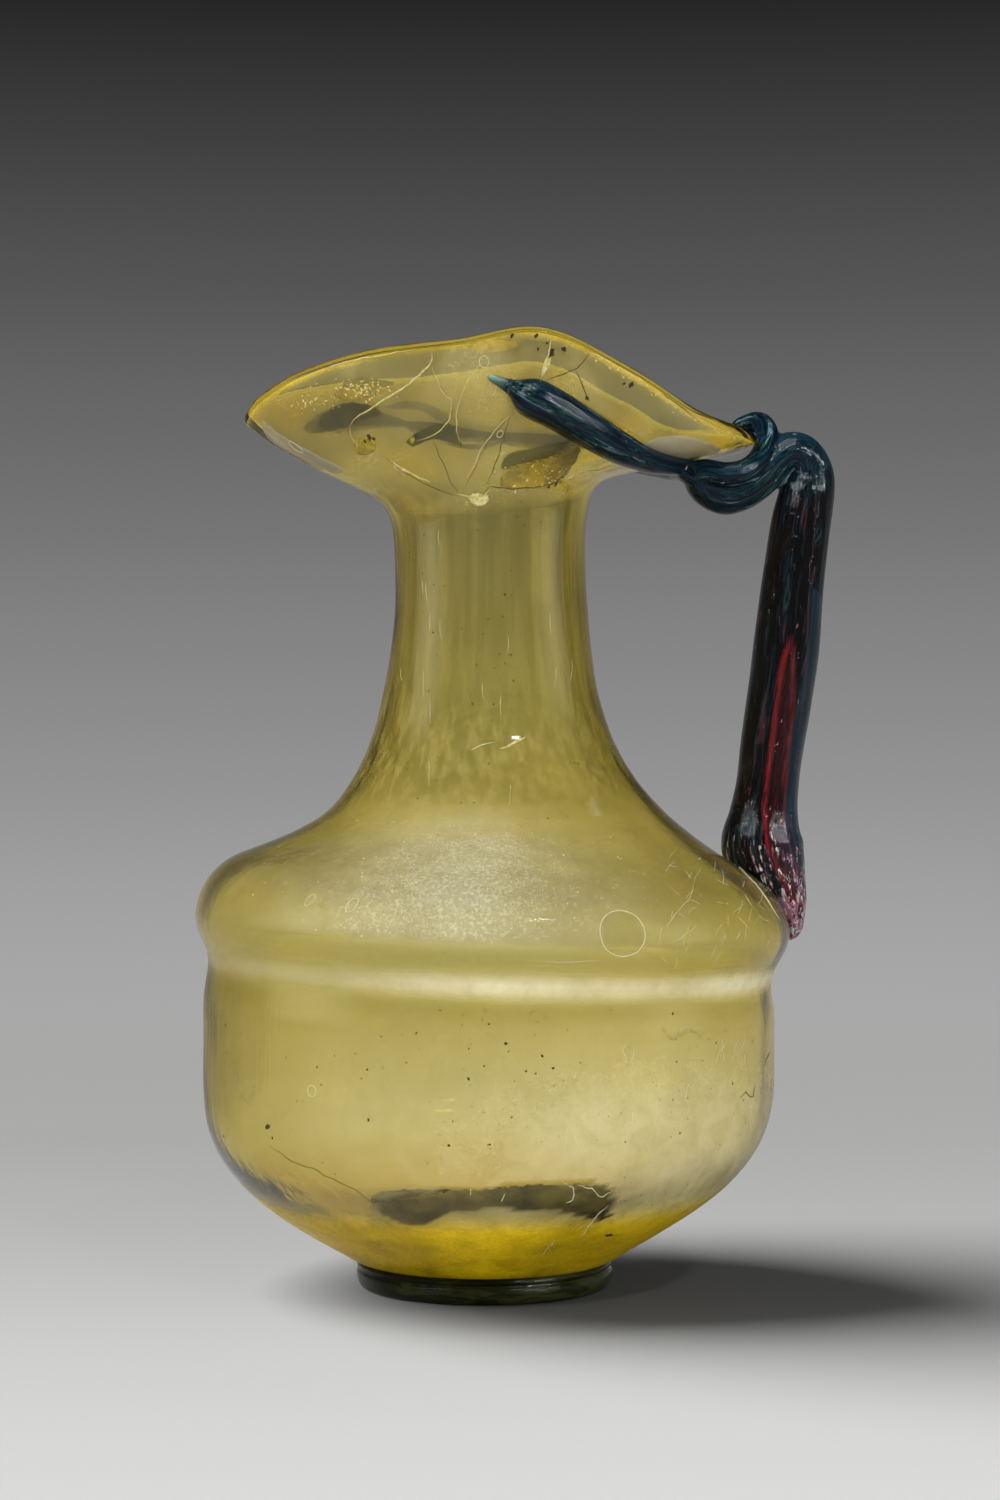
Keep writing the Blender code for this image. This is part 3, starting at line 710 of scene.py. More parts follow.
    # flecks: pink, white and blue where the strap meets the shoulder, few elsewhere
    cells = node(tree, "ShaderNodeTexNoise", Scale=1.25, Detail=6.0, Roughness=0.74, Distortion=0.6)
    spots = node(tree, "ShaderNodeCombineXYZ")
    tree.links.new(maths(tree, "MULTIPLY", s, 0.42), spots.inputs["X"])
    tree.links.new(across, spots.inputs["Y"])
    tree.links.new(lateral, spots.inputs["Z"])
    tree.links.new(spots.outputs[0], cells.inputs["Vector"])
    foot_zone = maths(tree, "SUBTRACT", 1.0, maths(tree, "MULTIPLY", s, 1.0 / 27.0), clamp=True)
    level = maths(tree, "MULTIPLY_ADD", foot_zone, 0.17, cells.outputs["Fac"])
    fleck = ramp(tree, level, [(0.655, (0.0,) * 3), (0.70, (0.95,) * 3)])
    kinds = ramp(tree, second.outputs["Fac"], [(0.40, (0.16, 0.20, 0.34)), (0.48, (0.42, 0.12, 0.12)), (0.55, (0.46, 0.38, 0.34)), (0.64, (0.10, 0.30, 0.26))])
    colour = blend(tree, fleck.outputs[0], colour, kinds.outputs[0])
    wide = node(tree, "ShaderNodeTexNoise", Scale=0.50, Detail=5.0, Roughness=0.62, Distortion=1.2)
    tree.links.new(spots.outputs[0], wide.inputs["Vector"])
    base_zone = maths(tree, "SUBTRACT", 1.0, maths(tree, "MULTIPLY", s, 1.0 / 19.0), clamp=True)
    smear = ramp(tree, maths(tree, "MULTIPLY_ADD", base_zone, 0.26, wide.outputs["Fac"]), [(0.63, (0.0,) * 3), (0.68, (0.80,) * 3)])
    tints = ramp(tree, cells.outputs["Fac"], [(0.38, (0.05, 0.09, 0.16)), (0.46, (0.28, 0.05, 0.06)), (0.52, (0.02, 0.04, 0.05)), (0.57, (0.42, 0.30, 0.28)), (0.64, (0.10, 0.22, 0.22)), (0.70, (0.50, 0.46, 0.42))])
    colour = blend(tree, maths(tree, "MULTIPLY", smear.outputs[0], maths(tree, "MULTIPLY", base_zone, 4.0, clamp=True)), colour, tints.outputs[0])
    # translucent green in the tail of the trail that faces the front
    tail = maths(tree, "MULTIPLY", maths(tree, "MULTIPLY", maths(tree, "SUBTRACT", s, 199.0), 0.22, clamp=True), maths(tree, "LESS_THAN", s, 255.0))
    colour = blend(tree, tail, colour, (0.10, 0.16, 0.11))
    far = maths(tree, "MULTIPLY", maths(tree, "SUBTRACT", s, 262.0), 0.05, clamp=True)
    colour = blend(tree, far, colour, blend(tree, second.outputs["Fac"], (0.012, 0.020, 0.006), (0.10, 0.13, 0.03)))
    tree.links.new(colour, shader.inputs["Base Color"])
    shader.inputs["Roughness"].default_value = 0.09
    shader.inputs["Specular IOR Level"].default_value = 0.15
    fine = node(tree, "ShaderNodeTexNoise", Scale=5.5, Detail=5.0, Roughness=0.65)
    tree.links.new(drawn.outputs[0], fine.inputs["Vector"])
    pits = node(tree, "ShaderNodeTexNoise", Scale=2.4, Detail=3.0, Roughness=0.6)
    tree.links.new(spots.outputs[0], pits.inputs["Vector"])
    height = maths(tree, "MULTIPLY_ADD", pits.outputs["Fac"], 0.35, fine.outputs["Fac"])
    bump = node(tree, "ShaderNodeBump", Strength=0.24, Distance=0.0006)
    tree.links.new(height, bump.inputs["Height"])
    tree.links.new(bump.outputs[0], shader.inputs["Normal"])
    return made


def foot_glass():
    """Black-olive glass with a few lighter streaks round the coil."""
    made, tree, shader = new_material("dark_olive_glass")
    at = node(tree, "ShaderNodeTexCoord")
    stretch = node(tree, "ShaderNodeMapping")
    stretch.inputs["Scale"].default_value = (1.0, 1.0, 5.0)
    tree.links.new(at.outputs["Object"], stretch.inputs["Vector"])
    streak = node(tree, "ShaderNodeTexNoise", Scale=110.0, Detail=6.0, Roughness=0.65, Distortion=0.6)
    tree.links.new(stretch.outputs[0], streak.inputs["Vector"])
    colour = ramp(tree, streak.outputs["Fac"], [(0.36, (0.003, 0.003, 0.001)), (0.50, (0.008, 0.009, 0.002)), (0.58, (0.020, 0.018, 0.004)), (0.64, (0.006, 0.016, 0.014)), (0.70, (0.060, 0.055, 0.012))])
    tree.links.new(colour.outputs[0], shader.inputs["Base Color"])
    shader.inputs["Roughness"].default_value = 0.14
    shader.inputs["Specular IOR Level"].default_value = 0.20
    fine = node(tree, "ShaderNodeTexNoise", Scale=500.0, Detail=4.0, Roughness=0.6)
    tree.links.new(stretch.outputs[0], fine.inputs["Vector"])
    bump = node(tree, "ShaderNodeBump", Strength=0.5, Distance=0.0005)
    tree.links.new(fine.outputs["Fac"], bump.inputs["Height"])
    tree.links.new(bump.outputs[0], shader.inputs["Normal"])
    return made


for ob, look, nodes, slot in (
    (vessel, yellow_glass(), "vessel", "yellow_glass"),
    (handle, handle_glass(), "handle", "dark_handle_glass"),
    (foot, foot_glass(), "foot_ring", "dark_olive_glass"),
):
    ob.data.materials.clear()
    ob.data.materials.append(look)
    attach(ob, "root")
    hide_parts(nodes)


# ---------------------------------------------------------------- weathered skin with painted highlights, glow and shade
BOTTOM_PATCH = [(372, 1201), (400, 1195), (440, 1190), (483, 1187), (520, 1183), (553, 1182), (587, 1182), (606, 1184), (613, 1200), (610, 1216), (597, 1222), (583, 1217), (567, 1212), (527, 1210), (500, 1208), (473, 1210), (453, 1211), (440, 1217), (430, 1222), (420, 1225), (400, 1223), (387, 1218), (377, 1211)]
STREAK_A = [(316, 430), (320, 417), (337, 405), (354, 401), (376, 406), (382, 412), (366, 419), (348, 426), (330, 430)]
STREAK_B = [(407, 440), (419, 431), (443, 422), (454, 425), (458, 435), (462, 444), (446, 440), (431, 438), (414, 445)]
STREAK_C = [(508, 452), (531, 447), (560, 441), (574, 438), (560, 454), (531, 462), (504, 468), (502, 460)]


def within(points, marks):
    """Share (0 or 1) of points that lie inside an outline given in the front view, on the near side."""
    scale = 3400.0 / (625.6 + points[:, 1])
    x, y = 488.0 + points[:, 0] * scale, 692.0 - (points[:, 2] - 108.93) * scale
    inside = np.zeros(len(points), bool)
    for (x0, y0), (x1, y1) in zip(marks, marks[1:] + marks[:1]):
        if y0 == y1:
            continue
        cross = (y0 > y) != (y1 > y)
        inside ^= cross & (x < x0 + (y - y0) / (y1 - y0) * (x1 - x0))
    return (inside & (points[:, 1] < 0)).astype(float)


RING_AT, _ = seen(623, 933)


def film_mesh():
    """The skin on the outside of the glass, a closed sheet 0.03 mm thick: weathering haze, with painted highlights on
    the shoulder and groove, painted glow low on the bowl and painted shade at the edges.
    """
    first, last = 3, OUTER.shape[1]
    outer = OUTER[:, first:last] + OUTER_N[:, first:last] * 0.045
    inner = OUTER[:, first:last] + OUTER_N[:, first:last] * 0.015
    rings = [outer[:, k] for k in range(outer.shape[1])] + [inner[:, k] for k in range(inner.shape[1] - 1, -1, -1)]
    n = len(rings)
    points = np.concatenate(rings)
    faces = []
    for k in range(n):
        a, b = k * SEG, ((k + 1) % n) * SEG
        for i in range(SEG):
            j = (i + 1) % SEG
            faces.append((a + i, a + j, b + j, b + i))
    ob = mesh_object("weathered_skin", to_row(points), faces)
    z = points[:, 2] + SHOULDER_TILT * points[:, 0] * smooth((points[:, 2] - 34.0) / 22.0) * (1.0 - smooth((points[:, 2] - 76.0) / 12.0))
    radius = np.maximum(np.hypot(points[:, 0], points[:, 1]), 1e-6)
    front = -points[:, 1] / radius
    side = points[:, 0] / radius
    centre = np.exp(-((side + 0.10) / 0.55) ** 2) * (front > 0)
    shoulder = smooth((z - 63.5) / 5.0) * (1.0 - smooth((z - 80.0) / 14.0))
    groove = np.exp(-(((z - 59.2) / 2.3) ** 2))
    body = smooth((z - 16.0) / 8.0) * (1.0 - smooth((z - 54.0) / 8.0))
    neck = smooth((z - 80.0) / 8.0) * (1.0 - smooth((z - 98.0) / 16.0))
    lip = smooth((z - 143.0) / 6.0)
    patchy = 0.5 + 0.5 * Waves(41, 17.0)(points)
    broad = 0.5 + 0.5 * Waves(43, 46.0)(points)
    across = np.interp(side, (-1.0, -0.8, -0.5, -0.15, 0.35, 0.75, 1.0), (0.08, 0.20, 0.62, 0.98, 1.40, 1.50, 1.10))
    # painted highlights: the haze is thicker at the middle of the shoulder's front and in a band round the groove,
    # where light is reflected; the rest is weathering haze
    haze = shoulder * (0.02 + 0.28 * centre + 0.09 * patchy + 0.06 * smooth((side - 0.3) / 0.5))
    haze += groove * (0.20 + 0.22 * smooth((side + 0.55) / 0.3) + 0.34 * np.exp(-((side - 0.06) / 0.24) ** 2) * (front > 0) + 0.10 * centre + 0.20 * smooth((side - 0.15) / 0.35) + 0.40 * smooth((side - 0.6) / 0.25))
    # weathering haze on the body, thicker toward the right side: partly painted reflections of the lamps
    body = np.interp(z, (12.0, 17.0, 22.0, 27.0, 35.0, 47.0, 53.0, 56.0), (0.0, 0.16, 0.22, 0.30, 0.36, 0.19, 0.12, 0.0))
    haze += body * across * (0.70 + 0.42 * broad + 0.18 * patchy)
    # painted glow: an amber haze low on the bowl and a band on its lower right, standing for light passing through the
    # thick bottom
    haze += 0.26 * smooth((side - 0.40) / 0.3) * smooth((z - 13.0) / 5.0) * (1.0 - smooth((z - 26.0) / 8.0))
    amber = smooth((z - 4.0) / 1.2) * (1.0 - smooth((z - 15.0) / 7.0))
    haze += amber * (np.interp(side, (-0.8, -0.35, -0.05, 0.12, 0.35, 0.55, 0.8), (0.42, 0.42, 0.76, 0.66, 0.46, 0.60, 0.85)) + 0.12 * patchy)
    haze += neck * 0.05 + (1.0 - lip) * smooth((z - 88.0) / 8.0) * 0.035
    yolk = lip * np.tile(smooth((np.concatenate([LIP_PLACE[0, first:last], LIP_PLACE[0, first:last][::-1]]) - 0.86) / 0.08)[:, None], (1, SEG)).ravel()
    crisp = smooth((0.5 + 0.5 * Waves(45, 11.0)(points) - 0.42) / 0.16)
    haze += lip * (0.085 + 0.045 * crisp + 0.15 * smooth((z - 158.0) / 7.0) * (0.7 + 0.5 * crisp)) + yolk * (0.12 + 0.30 * smooth((side + 0.1) / 0.7) + 0.25 * smooth((-side - 0.45) / 0.4)) * (0.5 + patchy)
    haze *= 0.30 + 0.70 * smooth((front + 0.45) / 0.9)
    near = np.linalg.norm(points - np.array(RING_AT), axis=1)
    haze *= 1.0 - 0.25 * (1.0 - smooth((near - 3.8) / 0.5))
    haze *= 1.0 - 0.90 * within(points, BOTTOM_PATCH)
    for marks in (STREAK_A, STREAK_B, STREAK_C):
        haze *= 1.0 - 0.85 * within(points, marks)
    # painted shade: olive darkening toward the neck's edges and along the body's left edge, where the wall turns away
    olive_darkening = 0.20 * smooth((np.abs(side) - 0.72) / 0.12) * smooth((z - 88.0) / 6.0) * (1.0 - lip) * (0.6 + 0.8 * patchy)
    olive_darkening += 0.30 * smooth((-side - 0.80) / 0.10) * smooth((z - 26.0) / 12.0) * (1.0 - smooth((z - 56.0) / 6.0))
    haze += olive_darkening
    haze[len(haze) // 2 :] = 0.0
    put_attribute(ob, "olive", np.clip(olive_darkening / np.maximum(haze, 0.02), 0.0, 1.0))
    put_attribute(ob, "haze", np.clip(haze, 0.0, 0.9))
    # the haze is whiter at the shoulder's middle and the groove (painted highlights), and saturated amber in the
    # painted glow low on the bowl
    pale = 0.24 + 0.60 * shoulder * (0.05 + 0.95 * centre) + 0.45 * groove + 0.26 * np.clip(body * 3.0, 0, 1) * (0.5 + 0.5 * across)
    pale = pale * (1.0 - amber) * (1.0 - yolk) + 0.10 * yolk * patchy + lip * (1.0 - yolk) * 0.08 * crisp
    put_attribute(ob, "pale", np.clip(pale, 0.0, 1.0))
    speck = np.clip(0.55 * shoulder * (0.4 + 0.6 * centre) + 0.25 * np.clip(body * 3, 0, 1) * smooth((z - 30) / 20) + 0.25 * lip + 0.2 * amber, 0.0, 1.0)
    put_attribute(ob, "speck", speck)
    put_attribute(ob, "drawn", smooth((z - 86.0) / 10.0) * (1.0 - lip))
    return ob


skin = film_mesh()


def skin_look():
    made, tree, shader = new_material("weathered_skin")
    haze = node(tree, "ShaderNodeAttribute", attribute_name="haze")
    pale = node(tree, "ShaderNodeAttribute", attribute_name="pale")
    speck = node(tree, "ShaderNodeAttribute", attribute_name="speck")
    at = node(tree, "ShaderNodeTexCoord")
    soft = node(tree, "ShaderNodeTexNoise", Scale=190.0, Detail=4.0, Roughness=0.62, Distortion=0.4)
    tree.links.new(at.outputs["Object"], soft.inputs["Vector"])
    grain = node(tree, "ShaderNodeTexNoise", Scale=1500.0, Detail=2.0, Roughness=0.7)
    tree.links.new(at.outputs["Object"], grain.inputs["Vector"])
    clouds = ramp(tree, soft.outputs["Fac"], [(0.30, (0.76,) * 3), (0.50, (1.0,) * 3), (0.70, (1.20,) * 3)])
    dots = ramp(tree, grain.outputs["Fac"], [(0.36, (0.72,) * 3), (0.52, (1.0,) * 3), (0.64, (1.9,) * 3)])
    stretch = node(tree, "ShaderNodeMapping")
    stretch.inputs["Scale"].default_value = (1.0, 1.0, 0.035)
    tree.links.new(at.outputs["Object"], stretch.inputs["Vector"])
    lines = node(tree, "ShaderNodeTexNoise", Scale=520.0, Detail=2.0, Roughness=0.6)
    tree.links.new(stretch.outputs[0], lines.inputs["Vector"])
    streaks = ramp(tree, lines.outputs["Fac"], [(0.42, (0.2,) * 3), (0.56, (1.2,) * 3), (0.64, (2.0,) * 3)])
    drawn = node(tree, "ShaderNodeAttribute", attribute_name="drawn")
    one = node(tree, "ShaderNodeMix", data_type="FLOAT")
    one.inputs[2].default_value = 1.0
    tree.links.new(speck.outputs["Fac"], one.inputs[0])
    tree.links.new(dots.outputs[0], one.inputs[3])
    a = node(tree, "ShaderNodeMath", operation="MULTIPLY")
    pattern = node(tree, "ShaderNodeMix", data_type="FLOAT")
    tree.links.new(drawn.outputs["Fac"], pattern.inputs[0])
    tree.links.new(clouds.outputs[0], pattern.inputs[2])
    tree.links.new(streaks.outputs[0], pattern.inputs[3])
    tree.links.new(haze.outputs["Fac"], a.inputs[0])
    tree.links.new(pattern.outputs[0], a.inputs[1])
    b = node(tree, "ShaderNodeMath", operation="MULTIPLY", use_clamp=True)
    tree.links.new(a.outputs[0], b.inputs[0])
    tree.links.new(one.outputs[0], b.inputs[1])
    tree.links.new(b.outputs[0], shader.inputs["Alpha"])
    tint = ramp(tree, pale.outputs["Fac"], [(0.0, (0.95, 0.64, 0.004)), (0.24, (0.82, 0.66, 0.20)), (0.55, (0.86, 0.76, 0.42)), (1.0, (0.82, 0.81, 0.62))])
    olive = node(tree, "ShaderNodeAttribute", attribute_name="olive")
    mixed = node(tree, "ShaderNodeMix", data_type="RGBA")
    tree.links.new(olive.outputs["Fac"], mixed.inputs[0])
    tree.links.new(tint.outputs[0], mixed.inputs[6])
    mixed.inputs[7].default_value = (0.16, 0.115, 0.012, 1.0)
    tree.links.new(mixed.outputs[2], shader.inputs["Base Color"])
    shader.inputs["Roughness"].default_value = 0.55
    shader.inputs["Specular IOR Level"].default_value = 0.3
    return made


skin.data.materials.append(skin_look())
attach(skin, "root")
skin.visible_diffuse = False  # its colour stays on the jug and doesn't tint the floor


# ---------------------------------------------------------------- threads, plates and beads on the wall
class Pieces:
    """Many small closed shapes gathered in one mesh."""

    def __init__(self):
        self.points, self.faces = [], []

    def add(self, points, faces):
        base = len(self.points)
        self.points += [tuple(p) for p in points]
        self.faces += [tuple(base + v for v in f) for f in faces]

    def thread(self, path, radii, sides=6):
        """A closed tapered thread along a path."""
        path = np.asarray(path, float)
        if len(path) < 3:
            return
        tangent = np.gradient(path, axis=0)
        tangent /= np.maximum(np.linalg.norm(tangent, axis=1), 1e-9)[:, None]
        u = np.cross(tangent[0], (0.3, 0.2, 0.93))
        points, faces = [], []
        for p, t, r in zip(path, tangent, radii):
            u = u - t * (u @ t)
            u = u / max(np.linalg.norm(u), 1e-9)
            v = np.cross(t, u)
            for k in range(sides):
                f = 2 * math.pi * k / sides
                points.append(p + (u * math.cos(f) + v * math.sin(f)) * r)
        n = len(path)
        for i in range(n - 1):
            for k in range(sides):
                j = (k + 1) % sides
                faces.append((i * sides + k, i * sides + j, (i + 1) * sides + j, (i + 1) * sides + k))
        faces.append(tuple(range(sides))[::-1])
        faces.append(tuple(range((n - 1) * sides, n * sides)))
        self.add(points, faces)

    def line(self, marks, radius, sink=0.0, wander=0.0, seed=0, taper=0.25, tree=None, pass_by=0, kinked=False):
        """A thread that lies on the wall along marks of the front view."""
        tree = OUTER_TREE if tree is None else tree
        g = np.random.default_rng(seed)
        if kinked:
            coarse = resampled(np.array(marks, float), 7.0)
            coarse[1:-1] += g.uniform(-0.9, 0.9, coarse[1:-1].shape)
            dense = resampled(coarse, 1.6)
            wander = 0.0
        else:
            dense = resampled(through([tuple(map(float, m)) for m in marks], 8), 1.6)
        n = len(dense)
        off = np.zeros((n, 2))
        for waves in (2, 5, 11):
            ph = g.uniform(0, 6.28, 2)
            t = np.linspace(0, 1, n)
            off += wander / waves**0.6 * np.stack([np.sin(waves * 6.28 * t + ph[0]), np.cos(waves * 6.28 * t * 0.9 + ph[1])], axis=1)
        path, radii = [], []
        for i in range(n):
            hit, normal = seen(dense[i, 0] + off[i, 0], dense[i, 1] + off[i, 1], tree, pass_by)
            if hit is None:
                continue
            t = i / max(n - 1, 1)
            ends = min(1.0, min(t, 1 - t) / taper + 0.15) if taper > 0 else 1.0
            r = radius * ends * g.uniform(0.75, 1.2)
            path.append(np.array(hit + normal * (0.05 - sink)))
            radii.append(r)
        if len(path) > 3:
            self.thread(path, radii)

    def bead(self, at, normal, wide, high, turn=0.0, stretch=1.0, rough=0.0, seed=0, rings=4, sides=9):
        """A low, closed, rounded blob lying on the wall."""
        g = np.random.default_rng(seed)
        normal = Vector(normal).normalized()
        u = normal.orthogonal().normalized()
        v = normal.cross(u)
        u, v = u * math.cos(turn) + v * math.sin(turn), v * math.cos(turn) - u * math.sin(turn)
        edge = 1.0 + rough * g.uniform(-1, 1, sides)
        at = Vector(at) + normal * 0.05
        points, faces = [at + normal * high], []
        for k in range(1, 2 * rings):
            f = math.pi * k / (2 * rings)
            for i in range(sides):
                a = 2 * math.pi * i / sides
                w = math.sin(f) * wide * edge[i]
                points.append(at + u * (math.cos(a) * w * stretch) + v * (math.sin(a) * w) + normal * (math.cos(f) * high))
        points.append(at - normal * high)
        for i in range(sides):
            j = (i + 1) % sides
            faces.append((0, 1 + i, 1 + j))
            for k in range(2 * rings - 2):
                a, b = 1 + k * sides, 1 + (k + 1) * sides
                faces.append((a + i, b + i, b + j, a + j))
            end = 1 + (2 * rings - 2) * sides
            faces.append((end + i, len(points) - 1, end + j))
        self.add(points, faces)

    def ring(self, at, normal, radius, tube, stretch=1.0, turn=0.0, segments=56, tree=None):
        """A thin closed ring lying on the wall."""
        tree = OUTER_TREE if tree is None else tree
        normal = Vector(normal).normalized()
        u = normal.orthogonal().normalized()
        v = normal.cross(u)
        u, v = u * math.cos(turn) + v * math.sin(turn), v * math.cos(turn) - u * math.sin(turn)
        points, faces = [], []
        for i in range(segments):
            a = 2 * math.pi * i / segments
            out = (u * (math.cos(a) * stretch) + v * math.sin(a)).normalized()
            p = Vector(at) + u * (math.cos(a) * radius * stretch) + v * (math.sin(a) * radius)
            hit, n, _, _ = tree.find_nearest(p)
            for k in range(6):
                f = 2 * math.pi * k / 6
                points.append(hit + n * 0.04 + out * (math.cos(f) * tube) + n * (math.sin(f) * tube))
        for i in range(segments):
            for k in range(6):
                j, m = (k + 1) % 6, (i + 1) % segments
                faces.append((i * 6 + k, m * 6 + k, m * 6 + j, i * 6 + j))
        self.add(points, faces)

    def plate(self, outline_marks, lift, thick_mm, step=3.0, rough=0.0, seed=0, tree=None, pass_by=0):
        """A closed thin plate that follows the wall inside an outline given in the front view."""
        tree = OUTER_TREE if tree is None else tree
        g = np.random.default_rng(seed)
        ring = resampled(through([tuple(map(float, m)) for m in outline_marks] + [tuple(map(float, outline_marks[0]))], 6), step)[:-1]
        ring = ring + rough * g.uniform(-1, 1, ring.shape)
        low, high = ring.min(axis=0), ring.max(axis=0)
        count = len(ring)
        inside = []
        for x in np.arange(low[0] + step / 2, high[0], step):
            for y in np.arange(low[1] + step / 2, high[1], step * 0.8):
                q = np.array((x, y)) + g.uniform(-0.2, 0.2, 2) * step
                a, b = ring, np.roll(ring, -1, axis=0)
                cross = (a[:, 1] > q[1]) != (b[:, 1] > q[1])
                at = a[:, 0] + (q[1] - a[:, 1]) / np.where(b[:, 1] == a[:, 1], 1e-9, b[:, 1] - a[:, 1]) * (b[:, 0] - a[:, 0])
                if (cross & (q[0] < at)).sum() % 2 == 1 and np.linalg.norm(ring - q, axis=1).min() > step * 0.55:
                    inside.append(q)
        flat = [Vector(p) for p in ring] + [Vector(p) for p in inside]
        edges = [(i, (i + 1) % count) for i in range(count)]
        verts, _, tris, _, _, _ = delaunay_2d_cdt(flat, edges, [], 1, 1e-4)
        places, normals = [], []
        for v in verts:
            hit, normal = seen(v.x, v.y, tree, pass_by)
            if hit is None:
                return
            places.append(hit)
            normals.append(normal)
        n = len(places)
        points = [p + m * lift for p, m in zip(places, normals)] + [p + m * (lift - thick_mm) for p, m in zip(places, normals)]
        border = {}
        for t in tris:
            for a, b in zip(t, list(t[1:]) + [t[0]]):
                border[(a, b)] = True
        faces = [tuple(t) for t in tris] + [tuple(v + n for v in t[::-1]) for t in tris]
        for a, b in list(border):
            if (b, a) not in border:
                faces.append((b, a, a + n, b + n))
        self.add(points, faces)

    def made(self, name, look):
        ob = mesh_object(name, to_row(np.array(self.points)), self.faces)
        shape = bmesh.new()
        shape.from_mesh(ob.data)
        bmesh.ops.recalc_face_normals(shape, faces=shape.faces)
        shape.to_mesh(ob.data)
        shape.free()
        ob.data.materials.append(look)
        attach(ob, "root")
        return ob


def plain_look(name, colour, rough, alpha=1.0, transmission=0.0, vary=None, scale=900.0):
    made, tree, shader = new_material(name)
    shader.inputs["Base Color"].default_value = (*colour, 1.0)
    shader.inputs["Roughness"].default_value = rough
    shader.inputs["Alpha"].default_value = alpha
    shader.inputs["Transmission Weight"].default_value = transmission
    if vary is not None:
        at = node(tree, "ShaderNodeTexCoord")
        noise = node(tree, "ShaderNodeTexNoise", Scale=scale, Detail=4.0, Roughness=0.65)
        tree.links.new(at.outputs["Object"], noise.inputs["Vector"])
        mix = ramp(tree, noise.outputs["Fac"], [(0.38, colour), (0.62, vary)])
        tree.links.new(mix.outputs[0], shader.inputs["Base Color"])
    return made


def on_wall(angle, z):
    """Place and normal on the blown wall at an angle (degrees from the handle) and a height."""
    a = math.radians(angle)
    hit, normal, _, _ = OUTER_TREE.ray_cast(Vector((120 * math.cos(a), 120 * math.sin(a), z)), Vector((-math.cos(a), -math.sin(a), 0.0)))
    return hit, normal


